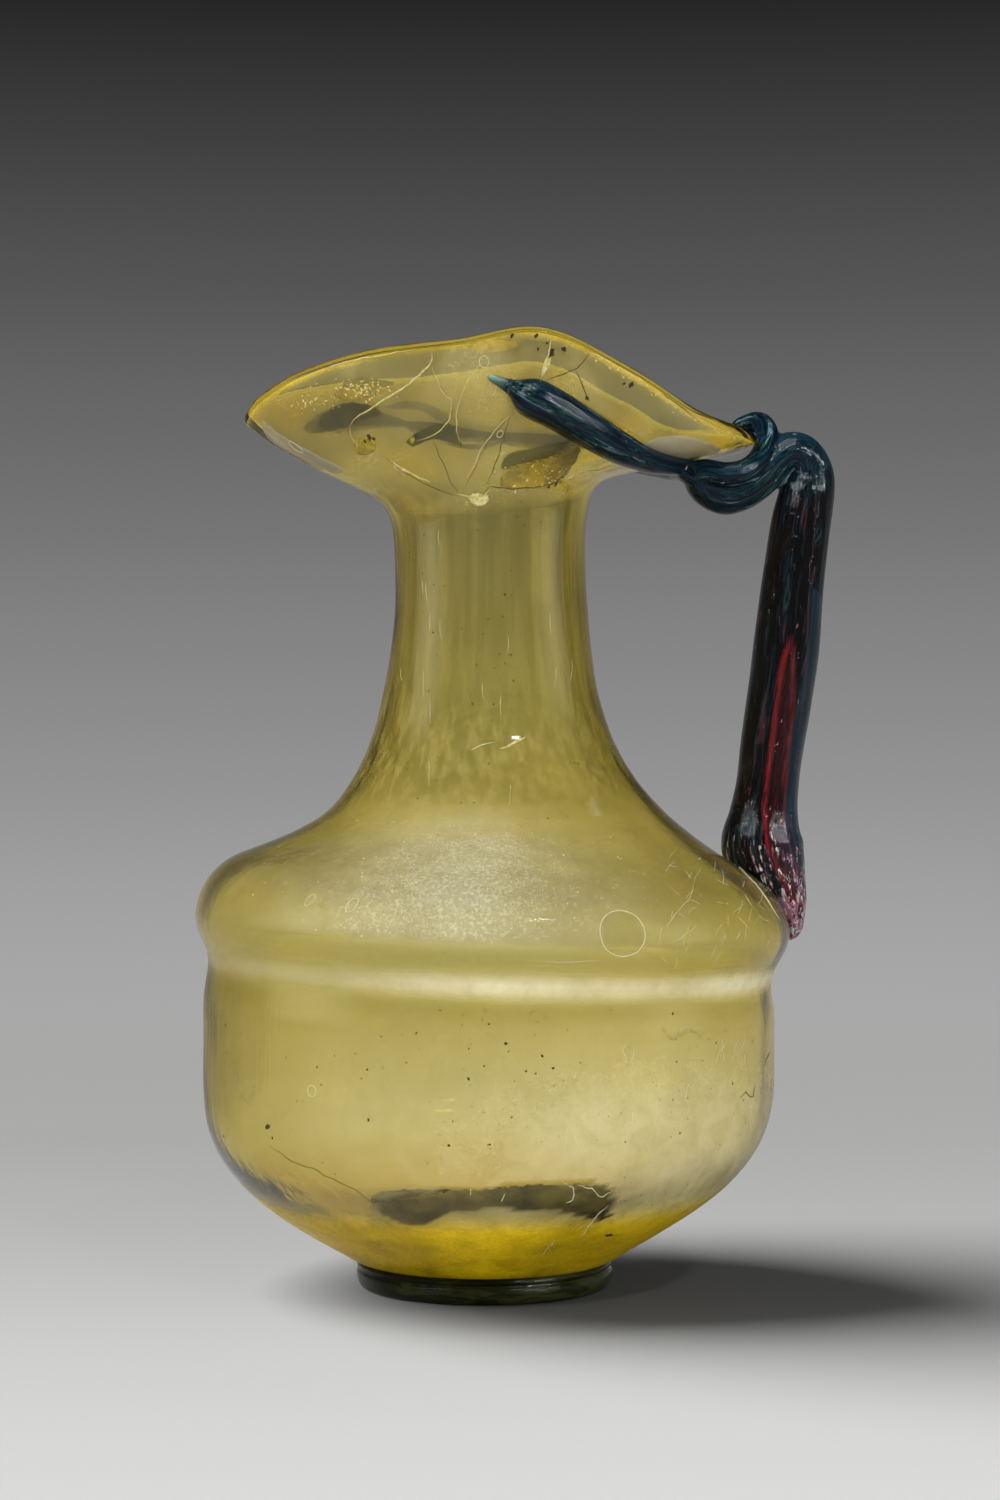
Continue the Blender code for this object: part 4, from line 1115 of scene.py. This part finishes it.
def marks_on_glass():
    # painted glints and highlights: pale lines and spots coloured as light caught along the cracks and mends, along
    # the rim and the spout's edge, and on the lip
    bright = Pieces()
    bright.line([(432, 352), (432, 363), (413, 381), (390, 397), (369, 409), (354, 419), (350, 426)], 0.193, wander=0.4, seed=1, kinked=True)
    bright.line([(432, 366), (435, 376), (443, 393), (453, 401), (449, 419), (443, 429), (428, 437), (416, 441)], 0.107, wander=0.9, seed=2, kinked=True)
    bright.line([(484, 362), (475, 371), (466, 384), (462, 394), (456, 410), (457, 428), (460, 443)], 0.086, wander=0.8, seed=3, kinked=True)
    bright.line([(390, 460), (401, 469), (419, 478), (431, 482)], 0.185, wander=0.5, seed=4, kinked=True)
    bright.line([(350, 427), (350, 437), (359, 446), (357, 451)], 0.071, wander=0.5, seed=5, kinked=True)
    bright.line([(551, 338), (549, 353), (544, 368), (540, 381)], 0.143, wander=0.5, seed=6, kinked=True)
    bright.line([(515, 411), (499, 425), (481, 449), (466, 481), (460, 493)], 0.079, wander=0.5, seed=7, kinked=True)
    bright.line([(586, 352), (602, 355), (618, 364), (634, 375), (650, 386)], 0.171, wander=0.4, seed=8, kinked=True)
    bright.line([(457, 494), (468, 497), (482, 496), (490, 489)], 0.157, wander=0.6, seed=9, kinked=True)
    # painted highlights along the rim, on the lip's underside and along the spout's lower edge
    bright.line([(296, 374), (330, 366), (368, 357), (404, 351), (424, 348)], 0.086, wander=0.3, seed=12, kinked=True)
    bright.line([(562, 479), (578, 474), (596, 470), (612, 465)], 0.132, wander=0.3, seed=13, kinked=True)
    bright.line([(238, 424), (262, 447), (290, 463), (318, 474)], 0.066, wander=0.3, seed=14, kinked=True)
    bright.line([(499, 749), (506, 747), (516, 743), (526, 737)], 0.24, wander=0.2, seed=15, kinked=True)
    bright.plate([(546, 358), (551, 352), (550, 364), (544, 374), (541, 379), (542, 368)], 0.06, 0.10, step=2.0, seed=10)
    # a painted glint where the lip meets the neck
    bright.plate([(468, 497), (476, 493), (486, 495), (489, 500), (482, 506), (474, 505)], 0.06, 0.10, step=2.0, rough=0.8, seed=11)
    bright.plate([(393, 465), (401, 467), (410, 472), (404, 473), (396, 470)], 0.06, 0.10, step=1.6, seed=12)
    bright.made("crack_lights", plain_look("painted_crack_and_rim_glint", (0.80, 0.70, 0.34), 0.25, vary=(0.50, 0.40, 0.10), scale=1500.0))
    # the same kind of hairline where it shows dark
    dark = Pieces()
    dark.line([(590, 351), (581, 365), (572, 371), (557, 376), (543, 382)], 0.104, wander=0.8, seed=21, kinked=True)
    dark.line([(575, 369), (582, 382), (587, 397), (590, 404)], 0.096, wander=0.8, seed=22, kinked=True)
    dark.line([(385, 457), (401, 470), (419, 481), (437, 489), (457, 496)], 0.080, wander=0.6, seed=23, kinked=True)
    dark.line([(481, 497), (490, 486), (507, 489), (531, 488), (551, 485), (563, 476), (569, 469)], 0.112, wander=1.0, seed=24, kinked=True)
    dark.line([(512, 413), (504, 437), (496, 463), (487, 484)], 0.096, wander=0.7, seed=25, kinked=True)
    dark.line([(434, 443), (443, 463), (451, 484), (459, 494)], 0.072, wander=0.7, seed=26, kinked=True)
    dark.line([(516, 411), (501, 426), (483, 450), (468, 482), (461, 494)], 0.048, wander=0.5, seed=27, kinked=True)
    dark.line([(268, 1145), (292, 1161), (316, 1170), (325, 1176), (354, 1188), (374, 1204)], 0.080, wander=1.0, seed=28, kinked=True)
    dark.line([(436, 376), (444, 394), (455, 402), (450, 420)], 0.056, wander=0.9, seed=29, kinked=True)
    dark.line([(600, 352), (622, 362), (642, 376), (660, 391), (684, 409), (706, 427)], 0.080, wander=0.4, seed=30, kinked=True)
    dark.line([(740, 1098), (745, 1092), (752, 1100), (756, 1084)], 0.112, wander=0.8, seed=31, kinked=True)
    dark.line([(764, 1066), (767, 1058), (770, 1052)], 0.096, wander=0.6, seed=32, kinked=True)
    for i, (angle, z, run) in enumerate(((110, 72, 18), (35, 40, 16), (150, 30, 12))):
        path = []
        for k in range(24):
            hit, normal = on_wall(angle + run * 0.9 * k / 23, z + 3.0 * math.sin(k / 5.0 + i) + 0.25 * k)
            if hit is not None:
                path.append(np.array(hit))
        dark.thread(path, [0.09] * len(path))
    dark.made("hairlines", plain_look("hairline_dark", (0.055, 0.045, 0.010), 0.45, vary=(0.16, 0.13, 0.03), scale=1600.0))
    # dark crusts and stones
    crust = Pieces()
    g = np.random.default_rng(5)
    for x, y, r, st, turn in ((551, 353, 0.62, 1.3, 0.4), (564, 349, 0.42, 1.2, 1.0), (631, 385, 0.40, 1.5, 0.2), (624, 384, 0.28, 1.0, 0.0), (336, 364, 0.45, 1.8, 0.3), (369, 437, 0.55, 1.3, 0.8), (365, 441, 0.30, 1.2, 0.8), (374, 439, 0.30, 1.2, 0.8), (609, 1235, 0.55, 1.9, 0.1), (268, 1127, 0.45, 1.4, 0.9), (547, 343, 0.25, 1.0, 0.0), (538, 349, 0.22, 1.0, 0.0), (536, 336, 0.30, 2.2, 0.2), (556, 484, 0.34, 1.8, 0.5), (549, 487, 0.26, 1.4, 0.5), (562, 477, 0.22, 1.3, 0.5), (587, 398, 0.3, 1.6, 1.2), (512, 336, 0.28, 2.0, 0.1)):
        hit, normal = seen(x, y)
        if hit is not None:
            crust.bead(hit, normal, r, min(0.10, r * 0.3), turn, st, 0.35, int(x))
    for k in range(150):
        x, y = g.uniform(215, 775), g.uniform(1010, 1235)
        hit, normal = seen(x, y)
        if hit is not None and normal.y < -0.15:
            crust.bead(hit, normal, float(g.choice((0.08, 0.11, 0.15, 0.22), p=(0.4, 0.3, 0.2, 0.1))), 0.06, g.uniform(0, 3), g.uniform(1.0, 1.6), 0.25, k, 2, 7)
    for k in range(60):
        x, y = g.uniform(380, 580), g.uniform(520, 830)
        hit, normal = seen(x, y)
        if hit is not None and normal.y < -0.3:
            crust.bead(hit, normal, g.uniform(0.05, 0.12), 0.05, 1.57, g.uniform(1.0, 2.4), 0.2, k + 500, 2, 7)
    for k in range(150):
        hit, normal = on_wall(g.uniform(5, 175), g.uniform(18, 150))
        if hit is not None:
            crust.bead(hit, normal, g.uniform(0.06, 0.18), 0.05, g.uniform(0, 3), g.uniform(1.0, 1.6), 0.25, k + 900, 2, 7)
    crust.made("dark_specks", plain_look("dark_speck", (0.035, 0.022, 0.006), 0.5))
    # yellow weathering flakes that glitter on the lip and shoulder
    flakes = Pieces()
    for k in range(330):
        if k < 130:
            x, y = g.normal(362, 13), g.normal(389, 4)
        elif k < 180:
            x, y = g.normal(312, 14), g.normal(401, 6)
        elif k < 250:
            x, y = g.normal(540, 24), g.normal(476, 8)
        else:
            t = g.uniform(0, 1)
            x, y = 590 + 150 * t + g.normal(0, 4), 352 + 86 * t + g.normal(0, 5)
        hit, normal = seen(x, y)
        if hit is not None and hit.z > 143:
            flakes.bead(hit, normal + Vector(g.normal(0, 0.35, 3)), g.uniform(0.06, 0.20), 0.03, g.uniform(0, 3), g.uniform(1.0, 2.2), 0.4, k, 2, 6)
    for k in range(260):
        x, y = g.normal(480, 150), g.normal(880, 34)
        hit, normal = seen(x, y)
        if hit is not None and 66 < hit.z < 88:
            flakes.bead(hit, normal + Vector(g.normal(0, 0.3, 3)), g.uniform(0.05, 0.17), 0.03, g.uniform(0, 3), g.uniform(1.0, 2.0), 0.4, k + 400, 2, 6)
    for k in range(120):
        hit, normal = on_wall(g.uniform(10, 170), g.uniform(66, 84))
        if hit is not None:
            flakes.bead(hit, normal + Vector(g.normal(0, 0.3, 3)), g.uniform(0.05, 0.17), 0.03, g.uniform(0, 3), g.uniform(1.0, 2.0), 0.4, k + 800, 2, 6)
    flakes.made("glitter_flakes", plain_look("glitter_flake", (0.90, 0.76, 0.30), 0.22, vary=(0.45, 0.35, 0.08), scale=700.0))
    # saturated yellow patches
    yolk = Pieces()
    yolk.plate([(354, 441), (361, 437), (370, 438), (376, 446), (371, 453), (360, 455), (355, 449)], 0.05, 0.08, step=2.2, rough=0.6, seed=31)
    yolk.bead(*seen(412, 440), 0.45, 0.08, 0.3, 1.4, 0.3, 8)
    # dark olive patches laid on the inside of the near lip
    olive_darkening = Pieces()
    olive_darkening.plate(STREAK_A, -0.03, 0.06, step=2.4, rough=0.6, seed=32, tree=INNER_TREE)
    olive_darkening.plate(STREAK_B, -0.03, 0.06, step=2.4, rough=0.6, seed=33, tree=INNER_TREE)
    olive_darkening.made("dark_olive_streaks", plain_look("dark_olive_streak", (0.020, 0.026, 0.005), 0.5, alpha=0.88, vary=(0.065, 0.070, 0.010), scale=520.0))
    veil = Pieces()
    veil.plate([(384, 407), (401, 401), (425, 402), (443, 411), (450, 420), (440, 420), (424, 410), (404, 408)], -0.03, 0.06, step=2.4, rough=0.5, seed=34, tree=INNER_TREE)
    veil.plate([(344, 383), (360, 377), (380, 379), (396, 382), (388, 386), (366, 385), (350, 388)], -0.03, 0.06, step=2.4, rough=0.5, seed=35, tree=INNER_TREE)
    veil.plate([(440, 441), (464, 443), (484, 442), (500, 441), (486, 447), (462, 447)], -0.03, 0.06, step=2.4, rough=0.4, seed=36, tree=INNER_TREE)
    veil.plate(STREAK_C, -0.03, 0.06, step=2.4, rough=0.5, seed=37, tree=INNER_TREE)
    veil.made("olive_veils", plain_look("olive_veil", (0.075, 0.085, 0.022), 0.5, alpha=0.62, vary=(0.15, 0.14, 0.03), scale=420.0))
    gold = Pieces()
    gold.plate([(502, 474), (514, 464), (534, 459), (556, 452), (574, 444), (580, 448), (574, 460), (564, 472), (556, 482), (536, 488), (514, 488), (500, 483)], -0.03, 0.06, step=2.6, rough=1.2, seed=38, tree=INNER_TREE)
    gold.plate([(336, 393), (346, 386), (362, 383), (380, 385), (388, 388), (378, 395), (360, 399), (346, 399)], -0.03, 0.06, step=2.4, rough=1.0, seed=41, tree=INNER_TREE)
    gold.plate([(584, 346), (602, 354), (626, 366), (652, 384), (682, 404), (712, 424), (736, 440), (726, 442), (700, 430), (672, 412), (644, 394), (616, 376), (594, 360)], -0.03, 0.06, step=2.6, rough=1.0, seed=39, tree=INNER_TREE)
    gold.plate([(470, 346), (492, 341), (514, 342), (518, 347), (500, 351), (478, 353)], -0.03, 0.06, step=2.4, rough=0.8, seed=40, tree=INNER_TREE)
    # painted highlights: two pale sheets on the outside of the lip, one right of the trail and one along the spout's
    # underside
    clear = Pieces()
    clear.plate([(638, 446), (660, 437), (684, 436), (706, 441), (722, 450), (708, 456), (684, 459), (660, 456)], 0.02, 0.05, step=2.6, rough=0.8, seed=61)
    clear.plate([(262, 420), (276, 432), (296, 444), (318, 456), (340, 468), (336, 474), (310, 464), (286, 452), (266, 436)], 0.02, 0.05, step=2.6, rough=0.6, seed=62)
    clear.made("pale_bloom", plain_look("pale_bloom", (0.66, 0.60, 0.46), 0.35, alpha=0.50, vary=(0.50, 0.44, 0.28), scale=90.0))
    gold.made("golden_stains", plain_look("golden_stain", (0.66, 0.48, 0.010), 0.4, alpha=0.70, vary=(0.30, 0.24, 0.010), scale=300.0))
    yolk.made("yellow_crust", plain_look("yellow_crust", (0.50, 0.36, 0.015), 0.4, vary=(0.28, 0.20, 0.01)))
    # pale drawn lines and scratches
    pale = Pieces()
    pale.line([(540, 961), (566, 962), (600, 960)], 0.05, seed=41)
    for k in range(64):
        x, y = g.uniform(655, 775), g.uniform(856, 958)
        if y < 842 + 0.85 * (x - 700) or y > 985 - 0.25 * (x - 620):
            continue
        lean, run = g.choice((-0.9, 0.5, 1.9)) + g.uniform(-0.4, 0.4), g.uniform(5.0, 17.0)
        path = [(x, y)]
        for _ in range(4):
            path.append((path[-1][0] + math.cos(lean) * run / 4 + g.uniform(-1.6, 1.6), path[-1][1] + math.sin(lean) * run / 4 + g.uniform(-1.6, 1.6)))
        pale.line(path, g.uniform(0.02, 0.052), seed=200 + k, kinked=True)
    pale.line([(716, 846), (738, 866), (760, 890), (780, 920)], 0.13, wander=0.3, seed=44)
    pale.line([(664, 930), (676, 912), (690, 898), (694, 880)], 0.05, seed=45, kinked=True)
    pale.line([(564, 1182), (574, 1190), (572, 1199), (566, 1204)], 0.09, wander=1.0, seed=47)
    pale.line([(576, 1184), (590, 1188), (600, 1196), (612, 1190)], 0.08, wander=1.2, seed=48)
    pale.line([(608, 1206), (596, 1216), (588, 1228), (578, 1238)], 0.08, wander=1.2, seed=49)
    pale.line([(470, 1188), (471, 1192), (470, 1196)], 0.08, seed=50)
    pale.line([(505, 1193), (503, 1198), (501, 1202)], 0.08, seed=51)
    pale.line([(556, 1238), (548, 1248), (540, 1256)], 0.07, wander=0.8, seed=52)
    pale.line([(470, 751), (482, 745), (497, 742)], 0.07, seed=53)
    for k in range(16):
        x, y = g.uniform(400, 580), g.uniform(520, 800)
        pale.line([(x, y), (x + g.uniform(-1, 1), y + 9), (x + g.uniform(-2, 2), y + g.uniform(14, 30))], 0.035, seed=60 + k)
    for k in range(14):
        x, y = g.uniform(560, 760), g.uniform(1020, 1150)
        pale.line([(x, y), (x + g.uniform(-6, 2), y + 8), (x + g.uniform(-9, 3), y + g.uniform(14, 34))], 0.05, wander=0.8, seed=90 + k)
    pale.made("pale_lines", plain_look("pale_line", (0.80, 0.74, 0.46), 0.4))
    # bubbles that show as thin rims
    rims = Pieces()
    hit, normal = seen(623, 933)
    rims.ring(hit, normal, 4.25, 0.095)
    for x, y, r, st, turn in ((312, 1091, 0.95, 1.0, 0.0), (296, 447, 0.85, 1.9, 0.6), (352, 905, 0.9, 1.6, 0.1), (310, 900, 0.7, 1.8, 0.0), (484, 362, 0.8, 1.3, 0.9), (500, 434, 0.5, 1.4, 0.2)):
        hit, normal = seen(x, y)
        if hit is not None:
            rims.ring(hit, normal, r, 0.055, st, turn, 28)
    for k in range(9):
        hit, normal = on_wall(g.uniform(15, 165), g.uniform(22, 80))
        if hit is not None:
            rims.ring(hit, normal, g.uniform(0.5, 1.6), 0.05, g.uniform(1.0, 1.5), g.uniform(0, 3), 28)
    rims.made("bubble_rims", plain_look("bubble_rim", (0.74, 0.70, 0.42), 0.2))
    # a dark grey-blue patch on the inside of the bottom, as wide as the foot ring
    bottom_patch = Pieces()
    bottom_patch.plate(BOTTOM_PATCH, -0.03, 0.06, step=2.6, rough=1.5, seed=71, tree=INNER_TREE)
    bottom_patch.made("inner_deposit", plain_look("inner_deposit", (0.060, 0.070, 0.055), 0.6, alpha=0.76, vary=(0.42, 0.38, 0.22), scale=150.0))


marks_on_glass()


def mouth_skin_mesh():
    """Weathering on the inside of the lip, a closed sheet like the one outside."""
    first = int(np.argmax(LIP_PLACE[0] > 0.04))
    a = INNER[:, first:] - OUTER_N[:, first:] * 0.045
    b = INNER[:, first:] - OUTER_N[:, first:] * 0.015
    rings = [a[:, k] for k in range(a.shape[1])] + [b[:, k] for k in range(b.shape[1] - 1, -1, -1)]
    n = len(rings)
    points = np.concatenate(rings)
    faces = []
    for k in range(n):
        p, q = k * SEG, ((k + 1) % n) * SEG
        for i in range(SEG):
            j = (i + 1) % SEG
            faces.append((p + j, p + i, q + i, q + j))
    ob = mesh_object("mouth_skin", to_row(points), faces)
    back = points[:, 1] / np.maximum(np.hypot(points[:, 0], points[:, 1]), 1e-6)
    patchy = 0.5 + 0.5 * Waves(51, 13.0)(points)
    crisp = smooth((patchy - 0.40) / 0.18)
    haze = (0.15 + 0.16 * crisp) * smooth((back + 0.35) / 0.6)
    trail = RODS["far"][0]
    for k in range(len(points)):
        if points[k, 1] > 0:
            gap = (np.linalg.norm(trail[:, :3] - points[k], axis=1) - trail[:, 3]).min()
            haze[k] *= 0.12 + 0.88 * float(smooth((gap - 1.2) / 2.0))
    haze[len(haze) // 2 :] = 0.0
    put_attribute(ob, "haze", np.clip(haze, 0.0, 0.9))
    put_attribute(ob, "olive", np.zeros(len(points)))
    put_attribute(ob, "pale", 0.10 + 0.24 * smooth((0.5 + 0.5 * Waves(52, 15.0)(points) - 0.40) / 0.2))
    put_attribute(ob, "speck", np.full(len(points), 0.25))
    put_attribute(ob, "drawn", np.zeros(len(points)))
    ob.data.materials.append(skin.data.materials[0])
    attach(ob, "root")
    return ob


mouth_skin_mesh()

# ---------------------------------------------------------------- floor and sweep
def sweep():
    """A pale floor that turns up into a grey surround on all sides; painted light: the floor is paler toward the
    front, and the surround glows, darker with height.
    """
    line = [(0.0, 0.0)] + [(r, 0.0) for r in np.linspace(0.05, 0.9, 18)]
    line += [(0.9 + 0.6 * math.sin(f), 0.6 * (1 - math.cos(f))) for f in np.linspace(0.05, math.pi / 2, 24)]
    line += [(1.5, z) for z in (0.8, 1.2, 1.8, 2.6)]
    segments = 96
    points = [(0.0, 0.0, 0.0)]
    for r, z in line[1:]:
        for i in range(segments):
            f = 2 * math.pi * i / segments
            points.append((r * math.cos(f) + AXIS_X * MM, r * math.sin(f), z))
    faces = [(0, 1 + i, 1 + (i + 1) % segments) for i in range(segments)]
    for k in range(len(line) - 2):
        a, b = 1 + k * segments, 1 + (k + 1) * segments
        for i in range(segments):
            j = (i + 1) % segments
            faces.append((a + i, b + i, b + j, a + j))
    ob = mesh_object("floor_sweep", np.array(points), faces, boxed=False)
    made, tree, shader = new_material("sweep_paper")
    where = node(tree, "ShaderNodeNewGeometry")
    split = node(tree, "ShaderNodeSeparateXYZ")
    tree.links.new(where.outputs["Position"], split.inputs[0])
    flat = node(tree, "ShaderNodeCombineXYZ")
    tree.links.new(split.outputs["X"], flat.inputs["X"])
    tree.links.new(split.outputs["Y"], flat.inputs["Y"])
    radius = node(tree, "ShaderNodeVectorMath", operation="LENGTH")
    tree.links.new(flat.outputs[0], radius.inputs[0])
    high = node(tree, "ShaderNodeMath", operation="MULTIPLY")
    tree.links.new(split.outputs["Z"], high.inputs[0])
    high.inputs[1].default_value = 1.0 / 0.8
    # painted light: the surround glows, darker with height, and the far floor glows paler toward the middle
    greys = [(0.0, 0.371), (0.02, 0.342), (0.05, 0.305), (0.10, 0.258), (0.15, 0.223), (0.20, 0.181), (0.25, 0.150), (0.30, 0.124), (0.35, 0.093), (0.40, 0.072), (0.45, 0.050), (0.50, 0.032), (0.55, 0.016), (0.8, 0.008)]
    wall = ramp(tree, high.outputs[0], [(z / 0.8, (g, g, g)) for z, g in greys])
    far = node(tree, "ShaderNodeMath", operation="MULTIPLY")
    tree.links.new(radius.outputs["Value"], far.inputs[0])
    far.inputs[1].default_value = 1.0
    floor = ramp(tree, far.outputs[0], [(0.0, (0.55,) * 3), (0.1, (0.497,) * 3), (0.2, (0.476,) * 3), (0.3, (0.456,) * 3), (0.5, (0.407,) * 3), (0.7, (0.384,) * 3), (0.9, (0.371,) * 3)])
    above = node(tree, "ShaderNodeMath", operation="GREATER_THAN")
    tree.links.new(split.outputs["Z"], above.inputs[0])
    above.inputs[1].default_value = 0.0001
    pick = node(tree, "ShaderNodeMix", data_type="RGBA")
    tree.links.new(above.outputs[0], pick.inputs["Factor"])
    tree.links.new(floor.outputs[0], pick.inputs[6])
    tree.links.new(wall.outputs[0], pick.inputs[7])
    glow = node(tree, "ShaderNodeEmission")
    tree.links.new(pick.outputs[2], glow.inputs["Color"])
    fade = node(tree, "ShaderNodeMapRange", interpolation_type="SMOOTHERSTEP")
    fade.inputs["From Min"].default_value = 0.22
    fade.inputs["From Max"].default_value = 0.75
    tree.links.new(radius.outputs["Value"], fade.inputs["Value"])
    blend = node(tree, "ShaderNodeMixShader")
    depth = node(tree, "ShaderNodeMapRange")
    depth.inputs["From Min"].default_value = -0.2
    depth.inputs["From Max"].default_value = 0.4
    tree.links.new(split.outputs["Y"], depth.inputs["Value"])
    # painted light: the floor's colour falls from pale at the front to darker at the back
    painted_floor_falloff = ramp(tree, depth.outputs["Result"], [((y + 0.2) / 0.6, (g, g, g * 0.985)) for y, g in ((-0.2, 0.93), (-0.12, 0.86), (-0.063, 0.80), (0.0, 0.72), (0.038, 0.67), (0.10, 0.60), (0.2, 0.545), (0.4, 0.51))])
    tree.links.new(painted_floor_falloff.outputs[0], shader.inputs["Base Color"])
    shader.inputs["Roughness"].default_value = 0.7
    shader.inputs["Specular IOR Level"].default_value = 0.2
    tree.links.new(fade.outputs["Result"], blend.inputs[0])
    tree.links.new(shader.outputs[0], blend.inputs[1])
    tree.links.new(glow.outputs[0], blend.inputs[2])
    tree.links.new(blend.outputs[0], tree.nodes["Material Output"].inputs["Surface"])
    ob.data.materials.append(made)
    return ob


sweep()


# ---------------------------------------------------------------- light
def softbox(name, at, aim, width, height, power, colour=(1.0, 1.0, 1.0), edge=0.5):
    """An area light, unseen by the camera, whose face fades toward its edges."""
    data = bpy.data.lights.new(name, "AREA")
    data.shape = "RECTANGLE"
    data.size, data.size_y = width, height
    data.energy = power
    data.color = colour
    data.use_nodes = True
    tree = data.node_tree
    glow = tree.nodes["Emission"]
    where = tree.nodes.new("ShaderNodeNewGeometry")
    split = tree.nodes.new("ShaderNodeSeparateXYZ")
    tree.links.new(where.outputs["Parametric"], split.inputs[0])
    level = None
    for axis in "XY":
        off = tree.nodes.new("ShaderNodeMath")
        off.operation = "PINGPONG"
        off.inputs[1].default_value = 0.5
        tree.links.new(split.outputs[axis], off.inputs[0])
        fade = tree.nodes.new("ShaderNodeMapRange")
        fade.interpolation_type = "SMOOTHSTEP"
        fade.inputs["From Max"].default_value = edge
        tree.links.new(off.outputs[0], fade.inputs["Value"])
        if level is None:
            level = fade.outputs["Result"]
        else:
            both = tree.nodes.new("ShaderNodeMath")
            both.operation = "MULTIPLY"
            tree.links.new(level, both.inputs[0])
            tree.links.new(fade.outputs["Result"], both.inputs[1])
            level = both.outputs[0]
    tree.links.new(level, glow.inputs["Strength"])
    ob = bpy.data.objects.new(name, data)
    bpy.context.scene.collection.objects.link(ob)
    ob.location = at
    ob.rotation_euler = (Vector(aim) - Vector(at)).to_track_quat("-Z", "Y").to_euler()
    ob.visible_camera = False
    return ob


softbox("left_softbox", (-0.98, -0.24, 0.30), (0.0, 0.0, 0.10), 1.15, 1.0, 4.6)
softbox("right_softbox", (0.98, -0.24, 0.30), (0.0, 0.0, 0.10), 1.15, 1.0, 3.4)
for side_box in ("left_softbox", "right_softbox"):
    bpy.data.objects[side_box].light_linking.receiver_collection = bpy.data.collections.new(side_box + "_lights")
    for ob in bpy.data.objects:
        if ob.type == "MESH" and ob not in (handle, foot):
            bpy.data.objects[side_box].light_linking.receiver_collection.objects.link(ob)
softbox("spark", (0.42, -0.95, 1.00), (0.0, 0.0, 0.10), 0.22, 0.05, 1.2, edge=0.3)
key_data = bpy.data.lights.new("key", "SUN")
key_data.energy = 3.35
key_data.angle = 0.95
key = bpy.data.objects.new("key", key_data)
bpy.context.scene.collection.objects.link(key)
key.rotation_euler = Vector((0.70, -0.16, -0.74)).to_track_quat("-Z", "Y").to_euler()
key.visible_glossy = False
key.visible_transmission = False
bpy.data.objects["floor_sweep"].visible_shadow = False
# a frontal fill for the jug only; it passes the clear glass, as light does
fill = softbox("front_fill", (0.22, -1.15, 0.50), (0.0, 0.0, 0.08), 0.8, 0.6, 38.0)
fill.visible_glossy = False
fill.visible_transmission = False
jug_pieces = bpy.data.collections.new("jug_pieces")
opaque_pieces = bpy.data.collections.new("opaque_pieces")
for ob in bpy.data.objects:
    if ob.type == "MESH" and ob.name != "floor_sweep":
        jug_pieces.objects.link(ob)
opaque_pieces.objects.link(handle)
opaque_pieces.objects.link(foot)
glints = bpy.data.collections.new("glint_pieces")
glints.objects.link(handle)
glints.objects.link(foot)
for name, at, size in (("glint_left", (-0.55, -0.62, 0.62), 0.10), ("glint_top", (0.05, -0.45, 1.05), 0.13), ("glint_right", (0.75, -0.55, 0.45), 0.07)):
    glint = softbox(name, at, (0.04, 0.0, 0.12), size, size * 2.2, 26.0, (0.86, 0.95, 1.0), 0.4)
    glint.light_linking.receiver_collection = glints
fill.light_linking.receiver_collection = jug_pieces
fill.light_linking.blocker_collection = opaque_pieces

bounce = softbox("floor_bounce", (0.22, -0.50, -0.16), (0.01, 0.0, 0.015), 0.5, 0.3, 1.7)
bounce.visible_glossy = False
bounce.visible_transmission = False
bounce_pieces = bpy.data.collections.new("bounce_pieces")
bounce_pieces.objects.link(skin)
bounce.light_linking.receiver_collection = bounce_pieces
bounce.light_linking.blocker_collection = opaque_pieces

world = bpy.data.worlds.new("studio")
bpy.context.scene.world = world
world.use_nodes = True
world.node_tree.nodes["Background"].inputs["Color"].default_value = (0.02, 0.02, 0.02, 1.0)
world.node_tree.nodes["Background"].inputs["Strength"].default_value = 1.0

# ---------------------------------------------------------------- camera
FOCAL_PX, WIDE_PX, HIGH_PX = 3400.0, 1000.0, 1500.0
camera_data = bpy.data.cameras.new("camera")
camera = bpy.data.objects.new("camera", camera_data)
bpy.context.scene.collection.objects.link(camera)
camera_data.sensor_width = 36.0
camera_data.lens = 36.0 * FOCAL_PX / HIGH_PX
camera_data.shift_x = (WIDE_PX / 2 - 488.0) / HIGH_PX
camera_data.shift_y = (692.0 - HIGH_PX / 2) / HIGH_PX
camera_data.clip_start = 0.01
camera_data.clip_end = 20.0
camera.location = (AXIS_X * MM, -0.6256, 0.10893)
camera.rotation_euler = (math.pi / 2, 0.0, 0.0)
bpy.context.scene.camera = camera

scene = bpy.context.scene
scene.view_settings.view_transform = "Standard"
scene.view_settings.look = "None"
scene.view_settings.exposure = 0.0
scene.view_settings.gamma = 1.0
scene.cycles.max_bounces = 11
scene.cycles.transmission_bounces = 11
scene.cycles.glossy_bounces = 5
scene.cycles.diffuse_bounces = 2
scene.cycles.blur_glossy = 0.3
scene.cycles.caustics_refractive = False
scene.cycles.caustics_reflective = False
scene.cycles.use_denoising = True
scene.cycles.use_adaptive_sampling = True
scene.cycles.adaptive_threshold = 0.05

bpy.context.view_layer.update()
